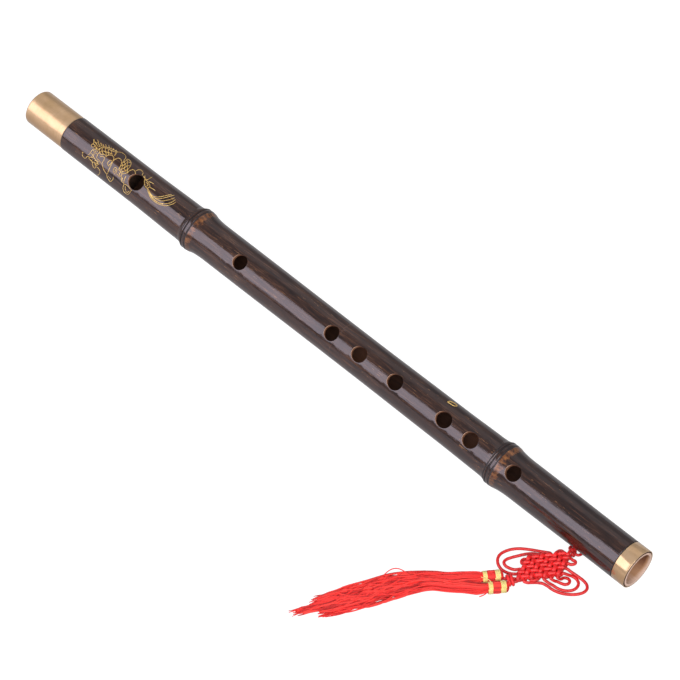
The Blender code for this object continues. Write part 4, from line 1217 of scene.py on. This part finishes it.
engraving = {
    "lineWidth": 0.37,
    "markWidth": 1.7,
    "sunk": 0.1,
    "strokes": (   # each is place, place round, next place, next place round, and so on
        (-38, 4.7, -36.7, 3.9, -35.1, 3.7, -35.1, 5, -36.4, 5.7), (-36.6, 0.9, -36.5, 2, -35, 2.2, -34.5, 1.1,
         -35.7, 0.5, -36.6, 0.9), (-36.4, 3.6, -34.5, 3.2, -34.2, 1.7, -32.5, 1.5, -32.9, 0.1), (-35, 5.3,
         -33.6, 3.6, -33.2, 2, -31.8, 1.2), (-38.3, 4.4, -36.4, 2.7, -36.5, 2), (-33.5, 5.4, -32.7, 3.8,
         -32.3, 2.7), (-32.5, 1.3, -34.2, -0.4, -34.2, -2.1, -34.4, -3.5, -35, -4.5), (-39.3, -5.7, -38.8,
         -4.9, -38.6, -6.6, -37.5, -7.5, -36.2, -7.4, -35.3, -6.2, -35.2, -5.3), (-35.2, -5.3, -33.5, -5.1,
         -31.8, -4.2, -29.9, -3.8, -28.1, -4.4, -26.6, -5.3), (-33.6, -0.4, -32, -1.4, -31.6, -3.2, -29.9,
         -3.8), (-32.2, 0.9, -31.6, -0.8, -29.7, -1.1, -29.3, -2.7, -26.9, -3, -25.5, -3.6), (-33.6, -2.4,
         -32.2, -3, -32.6, -4.4), (-33.8, -5.8, -31.8, -6, -30.9, -5.1), (-32.7, -6, -30.7, -6.5, -29.8, -8,
         -28.3, -9.1, -27.4, -7.6, -28, -6.6, -27.2, -4.6), (-29.1, -6.2, -27.2, -6.4, -25.9, -4.5), (-29.5,
         -4.6, -27.9, -4, -26.5, -4.1), (-27.1, -7.2, -25.1, -7.3, -23.9, -8.4, -24.3, -10.7, -25.9, -13.1),
        (-30.7, -6.5, -28.9, -5.6, -27.5, -5.8), (-32.3, 2.7, -31.8, 4, -30.2, 4.9, -28, 5.8, -25.9, 6.6,
         -23.9, 7.2, -22, 7.4), (-33.2, 5.4, -31.5, 4.3), (-32, 5.7, -30.4, 4.8), (-30.8, 6.6, -29.1, 5.5),
        (-29.1, 7.3, -27.4, 6.2), (-27.4, 7.4, -26.1, 6.6), (-25.8, 7.7, -24.5, 7), (-23.9, 7.9, -22.7, 7.3),
        (-31, 0, -31.3, 1.8, -30.5, 3.6, -28.7, 4.8, -26.2, 5.5, -23.9, 6.1, -22.1, 6.6, -21.3, 4.5), (-29.8,
         -0.8, -29.6, 1.3, -28.4, 2.5, -26.5, 3.2, -24.6, 3.9, -22.8, 4.3), (-28.6, -0.7, -27.6, 0.7, -26,
         1.4, -24.8, 1.5), (-31.2, 2.6, -30.3, 1.2, -28.6, 0.3), (-30.3, 3.8, -29, 2.1, -27, 1), (-28.8, 4.6,
         -27.2, 3.1, -25.2, 2), (-27, 5.2, -25.5, 3.5, -24.2, 2.7), (-25.2, 5.8, -23.5, 4.1), (-27.8, -1.1,
         -26.6, 0, -25.1, 0, -24.4, -1.4, -24.4, -3.3, -23.2, -4.6, -21.6, -5.8, -19.6, -6.7, -18.5, -6.5,
         -18.5, -4.5, -18.8, -2.2, -19, -0.5, -19.5, 1.9, -19.2, 3.4, -18.4, 4.8, -16.6, 4.8, -14.9, 3.6,
         -13.9, 1.7, -13.4, -0.3), (-24.8, 0.6, -24.3, 2.3, -22.8, 3.5, -20.8, 3.3, -19.7, 1.7), (-21.4, -1.7,
         -21.6, -0.4, -21.1, 0.9, -20, 1.1, -19.5, -0.1, -19.9, -1.5, -20.6, -2.3, -21.4, -1.7), (-19.9, -2.6,
         -20, -1.5), (-21.3, 4.4, -22, 6.1, -21.6, 8.1, -19.8, 9.1, -17.6, 9, -15.9, 7.8, -15.2, 6, -14.5,
         4.8), (-14.8, 7.3, -13.6, 8.1, -11.6, 7.5, -10, 6, -9.2, 4.1, -9.1, 2.6), (-15.2, 3.9, -13, 2.5,
         -12.1, 0.7, -10.2, -0.4), (-14.5, 4.8, -12.5, 4.3, -11.2, 2.1, -9, 1.2), (-14.8, 7.3, -12.7, 6.1,
         -11, 4.1, -9.1, 2.6, -8, 1), (-14.9, 3.6, -14.2, 5, -14.2, 7.1), (-13.8, 1.9, -12.7, 3.6, -12.7, 6.1,
         -11.5, 7), (-12.6, 0.3, -11.4, 1.9, -11, 4.1, -9.7, 5.3), (-11, -0.5, -9.8, 1.1, -9.1, 2.6), (-14,
         0.9, -12, -0.4, -10.2, -1.1, -8.8, -0.1, -8, 1), (-15.8, -2.9, -16.3, -1.7, -15.5, -0.4, -14.1, -1.1,
         -13.7, -2.7, -14.5, -3.5, -15.8, -2.9), (-15.5, -1.5, -14.5, -2, -14.7, -2.7), (-13.7, -0.5, -11.7,
         -0.7, -11.2, -2.5, -9.2, -2.7, -8.4, -4.3, -7, -4.9), (-13.2, -3, -11.6, -3.1, -10.2, -3.3), (-9.9,
         -0.9, -9.9, -2.4, -8.3, -2.9, -7.9, -4.3), (-18.9, -7, -17.6, -8.8, -15.7, -9.8, -14.5, -8.7, -13.8,
         -6.7, -14.1, -5.7), (-17.3, -7.4, -15.1, -7.9), (-7.7, 0.9, -7.7, 2.6, -6.9, 4.3, -5.3, 4.5, -3.7,
         3.4), (-4.9, 4.9, -4.5, 6.6, -3.1, 7.4, -1.2, 6.8, -0.1, 5), (-7.3, -0.7, -6.8, -3, -6.1, -5, -4.4,
         -4.7, -2.7, -4.7, -0.3, -5.3), (-5.8, -5.5, -5.6, -7.7, -4.2, -9.5, -1.6, -9.2, -0.3, -7.2, 0.1,
         -5.1), (-4.4, -5.8, -3.7, -7.5, -2.2, -8.3, -0.9, -6.6), (0.6, 5.2, 2.4, 4.7, 4.1, 4.8, 4.4, 6.1,
         4.5, 8.2), (2.9, 4.2, 4.2, 2.6, 5.7, 1.5, 7.9, 1, 8.5, 2.7, 6.9, 3.7, 4.7, 4.2, 2.9, 4.2), (4.7, 3.4,
         6.9, 2.9, 6.9, 1.6), (5.7, 4.6, 7.3, 5.1, 8.9, 5.3), (8.6, 2.4, 10.7, 2.6, 12.7, 2.8), (1, 6.1, 2.4,
         4.8), (8, 1.2, 9.7, -0.1, 12.2, -1.4, 14.9, -2.2, 17.6, -2.2, 19.9, -1.8, 22, -1.2, 24.4, 0.1, 26.4,
         2.6, 27, 4.6), (8.8, 1, 11.9, -0.5, 14.8, -1.4, 17.8, -1.4, 20.8, -0.8, 23.6, 1, 25.3, 3.2, 25.6,
         5.9), (9.6, 0.7, 13.3, -0.7, 16.3, -0.6, 19.3, 0, 21.4, 1.5, 23.2, 3.7, 24.4, 6.5), (10.7, 0.2, 14.3,
         -0.8, 17.1, 0, 18.9, 1.3, 20.9, 3.8, 22.8, 7.7), (11.6, -0.2, 14.3, -0.3, 16.7, 0.9, 18.7, 2.9, 20.3,
         5.1, 21.4, 7), (10, 0.1, 13.4, -1.3, 16.3, -1.7, 19.1, -1.3, 21.9, -0.5),
    ),
    "mark": (224.0, 9.6, 228.3, 10.4, 228.6, 12.3, 224.6, 11.7, 224.0, 9.6),
    "gold": ((0.3, (0.46, 0.26, 0.06)), (0.5, (0.82, 0.54, 0.16)), (0.75, (0.97, 0.74, 0.30))),
}


def onTube(along, around):
    x = tube["blowHole"][0] + along
    turn = tube["roll"] - math.degrees(around / girth(x))
    return tubePoint(x, turn, outerRadius(x, turn) - engraving["sunk"]) / mm


def makeEngraving(s):
    routes, widths = [], []
    for stroke in s["strokes"] + (s["mark"],):
        flat = evenly(list(zip(stroke[::2], stroke[1::2])), 0.45, detail=8)
        routes.append([onTube(along, around) for along, around in flat])
        widths.append([s["markWidth"] if stroke is s["mark"] else 1.0] * len(flat))
    return sweepMesh("goldLines", routes, s["lineWidth"] / 2, strandSides, widths)


def goldFinish(s):
    material, tree, shader = newMaterial("goldPaint", Metallic=0.35, Roughness=0.35)
    setShader(tree, shader, Base_Color=rampNode(tree, stretchedNoise(tree, 900), s["gold"]))
    return material


addPiece("goldLines", makeEngraving(engraving), "flute", [], goldFinish(engraving))
print("engraving made")


# Metal ends and stopper

metal = {
    "steps": 128,
    "lip": 8.9,
    "round": (1.1, 0.8),
    "ferruleRoughness": 0.3,
    "ringRoughness": 0.15,
    "tone": ((0.3, (0.71, 0.46, 0.24)), (0.55, (0.80, 0.53, 0.305)), (0.8, (0.88, 0.61, 0.385))),
    # painted shade colour for the front side of the brass
    "shadedFront": (0.48, 0.29, 0.15),
    "polishLine": (0.42, 0.26, 0.12),
}
stopper = {
    "steps": 48,
    "along": 15,
    "chamfer": 0.6,
    "dent": 0.036,
    # painted shade: the cork is coloured almost black so the bore behind the blow hole stays dark
    "tone": ((0.3, (0.016, 0.008, 0.005)), (0.6, (0.040, 0.020, 0.012)), (1.0, (0.08, 0.042, 0.026))),
}


def spunPiece(name, profile):
    bm = bmesh.new()
    spinProfile(bm, [tubePoint(x, 0, radius) for x, radius in profile], metal["steps"])
    bmesh.ops.recalc_face_normals(bm, faces=bm.faces)
    return toMesh(bm, name, 30)


def brassFinish(name, roughness, s):
    material, tree, shader = newMaterial(name, Metallic=0.62, Coat_Weight=0.4, Coat_Roughness=0.2)
    tone = rampNode(tree, stretchedNoise(tree, 120, 3, 0.6), s["tone"])
    forward = times(tree, coordinates(tree, "Object")[1], -1.0)
    shadedFront = times(tree, smoothStep(tree, forward, 0.0085, 0.011), 0.85)   # painted shade: darker on the front side
    tone = mixColors(tree, shadedFront, tone, s["shadedFront"])
    rings = stretchedNoise(tree, (1800, 40, 40), 3, 0.7, 6.0)   # fine lines left by polishing
    tone = mixColors(tree, times(tree, smoothStep(tree, rings, 0.5, 0.75), 0.35), tone, s["polishLine"])
    haze = timesPlus(tree, stretchedNoise(tree, (60, 300, 300), 3, 0.6, 3.0), 0.1, roughness - 0.05)
    setShader(tree, shader, Base_Color=tone, Roughness=haze)
    addBump(tree, shader, rings, 0.2, 0.00003)
    return material


def makeFerrule(s):
    end = -halfLength
    top = end + tube["ferrule"]
    outer = tube["ferruleRadius"]
    innerEnd = end + tube["ferruleWall"]
    inner = outer - tube["ferruleWall"]
    deep, high = s["round"]
    profile = [(top, outer - 0.12), (top - 0.08, outer - 0.03), (top - 0.2, outer)]
    for index in range(9):
        angle = math.pi / 2 * index / 8   # rounded end
        profile.append((end + deep - deep * math.sin(angle), outer - high + high * math.cos(angle)))
    profile += [(end, s["lip"] + 0.05), (end + 0.05, s["lip"]), (innerEnd, s["lip"]), (innerEnd, inner),
                (top, inner)]
    return spunPiece("headFerrule", profile)


def makeRing():
    top = halfLength - tube["ringSetback"]
    bottom = top - tube["ringLength"]
    outer = tube["ringRadius"]
    inner = outer - tube["ringWall"]
    profile = [(top, inner + 0.12), (top, outer - 0.12), (top - 0.05, outer - 0.04), (top - 0.14, outer),
               (bottom + 0.14, outer), (bottom + 0.05, outer - 0.04), (bottom, outer - 0.12),
               (bottom, inner), (top - 0.12, inner)]
    return spunPiece("tailRing", profile)


def corkFinish(s):
    material, tree, shader = newMaterial("cork", Roughness=0.85)
    place = addNode(tree, "ShaderNodeTexCoord").outputs["Object"]
    cells = addNode(tree, "ShaderNodeTexVoronoi", {"Vector": place, "Scale": 900}).outputs[0]
    tone = timesPlus(tree, stretchedNoise(tree, 500, 3), 0.7, cells)
    # painted shade: the nearly black tones stand for the shade inside the bore
    setShader(tree, shader, Base_Color=rampNode(tree, tone, s["tone"]))
    addBump(tree, shader, cells, 0.5, 0.0003)
    return material


def makeStopper(s):
    low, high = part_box("cork_stopper")
    radius = (high.z - low.z) / 2 / mm
    start, end = low.x / mm, high.x / mm
    edge = s["chamfer"]
    bm = bmesh.new()
    profile = [(start, 0.0), (start, radius - edge), (start + edge, radius)]
    profile += [(start + (end - start) * index / s["along"], radius) for index in range(1, s["along"])]
    profile += [(end - edge, radius), (end, radius - edge), (end, 0.0)]
    spinProfile(bm, [tubePoint(x, 0, place) for x, place in profile], s["steps"], closed=False)
    for vertex in bm.verts:
        dent = s["dent"] * clamp(noise.noise(vertex.co * 700))
        middle = Vector((vertex.co.x, 0, axisHeight * mm))
        vertex.co = vertex.co + (middle - vertex.co) * dent
    bmesh.ops.recalc_face_normals(bm, faces=bm.faces)
    return toMesh(bm, "corkStopper", 50)


addPiece("headFerrule", makeFerrule(metal), "flute", ["head_ferrule"],
         brassFinish("ferruleBrass", metal["ferruleRoughness"], metal))
addPiece("tailRing", makeRing(), "flute", ["tail_ring"],
         brassFinish("ringBrass", metal["ringRoughness"], metal))
addPiece("corkStopper", makeStopper(stopper), "flute", ["cork_stopper"], corkFinish(stopper))
print("metal ends and stopper made")


# Floor, lights and world

studio = {
    "floorColor": (0.30, 0.30, 0.31),
    "floorSize": 6.0,
    "floorLift": 0.87,
    "glossyShare": 0.28,
    "worldColor": (0.98, 0.99, 1.0),
    "worldStrength": 0.24,
    "lamps": (
        {"name": "softBox", "toward": (-0.43, -0.71, 0.56), "distance": 1.25, "size": (1.7, 1.0),
         "radiance": 2.05, "color": (0.965, 0.925, 1.0)},
        {"name": "frontBox", "toward": (0.62, -0.42, 0.66), "distance": 2.4, "size": (2.4, 2.4),
         "radiance": 3.1, "color": (1.0, 0.98, 0.96)},
        {"name": "fillBox", "toward": (-0.36, 0.62, 0.70), "distance": 1.4, "size": (1.7, 0.8),
         "radiance": 0.22, "color": (1.0, 0.93, 0.88)},
    ),
}


def cameraLift(tree, strength, glossyShare):   # white for the camera, part of it in gloss
    path = addNode(tree, "ShaderNodeLightPath").outputs
    mirrored = larger(tree, path["Is Glossy Ray"], path["Is Transmission Ray"])
    seen = larger(tree, path["Is Camera Ray"], times(tree, mirrored, glossyShare))
    return times(tree, seen, strength)


def makeFloor(s):
    bm = bmesh.new()
    bmesh.ops.create_grid(bm, x_segments=1, y_segments=1, size=s["floorSize"])
    floor = addObject("floor", toMesh(bm, "floor"))
    material, tree, shader = newMaterial("paleFloor", Roughness=0.9, Specular_IOR_Level=0.1,
                                         Base_Color=s["floorColor"], Emission_Color=(1.0, 1.0, 1.0))
    setShader(tree, shader, Emission_Strength=cameraLift(tree, s["floorLift"], s["glossyShare"]))
    floor.data.materials.append(material)


def addLamp(s):
    width, height = s["size"]
    lamp = bpy.data.lights.new(s["name"], "AREA")
    lamp.shape = "RECTANGLE"
    lamp.size = width
    lamp.size_y = height
    lamp.color = s["color"]
    lamp.energy = s["radiance"] * math.pi * width * height
    zAxis = Vector(s["toward"]).normalized()
    xAxis = (Vector((1, 0, 0)) - zAxis * zAxis.x).normalized()   # long side along the flute
    turn = Matrix((xAxis, zAxis.cross(xAxis), zAxis)).transposed().to_4x4()
    addObject(s["name"], lamp).matrix_world = Matrix.Translation(zAxis * s["distance"]) @ turn


def makeLights(s):
    world = bpy.data.worlds.new("studio")
    bpy.context.scene.world = world
    world.use_nodes = True
    tree = world.node_tree
    background = tree.nodes["Background"].inputs
    feed(tree, background["Color"], s["worldColor"])
    seen = cameraLift(tree, 1.0, s["glossyShare"])
    feed(tree, background["Strength"], larger(tree, seen, s["worldStrength"]))
    for setup in s["lamps"]:
        addLamp(setup)


makeFloor(studio)
makeLights(studio)
bpy.context.scene.view_settings.view_transform = "Standard"
print("studio made")
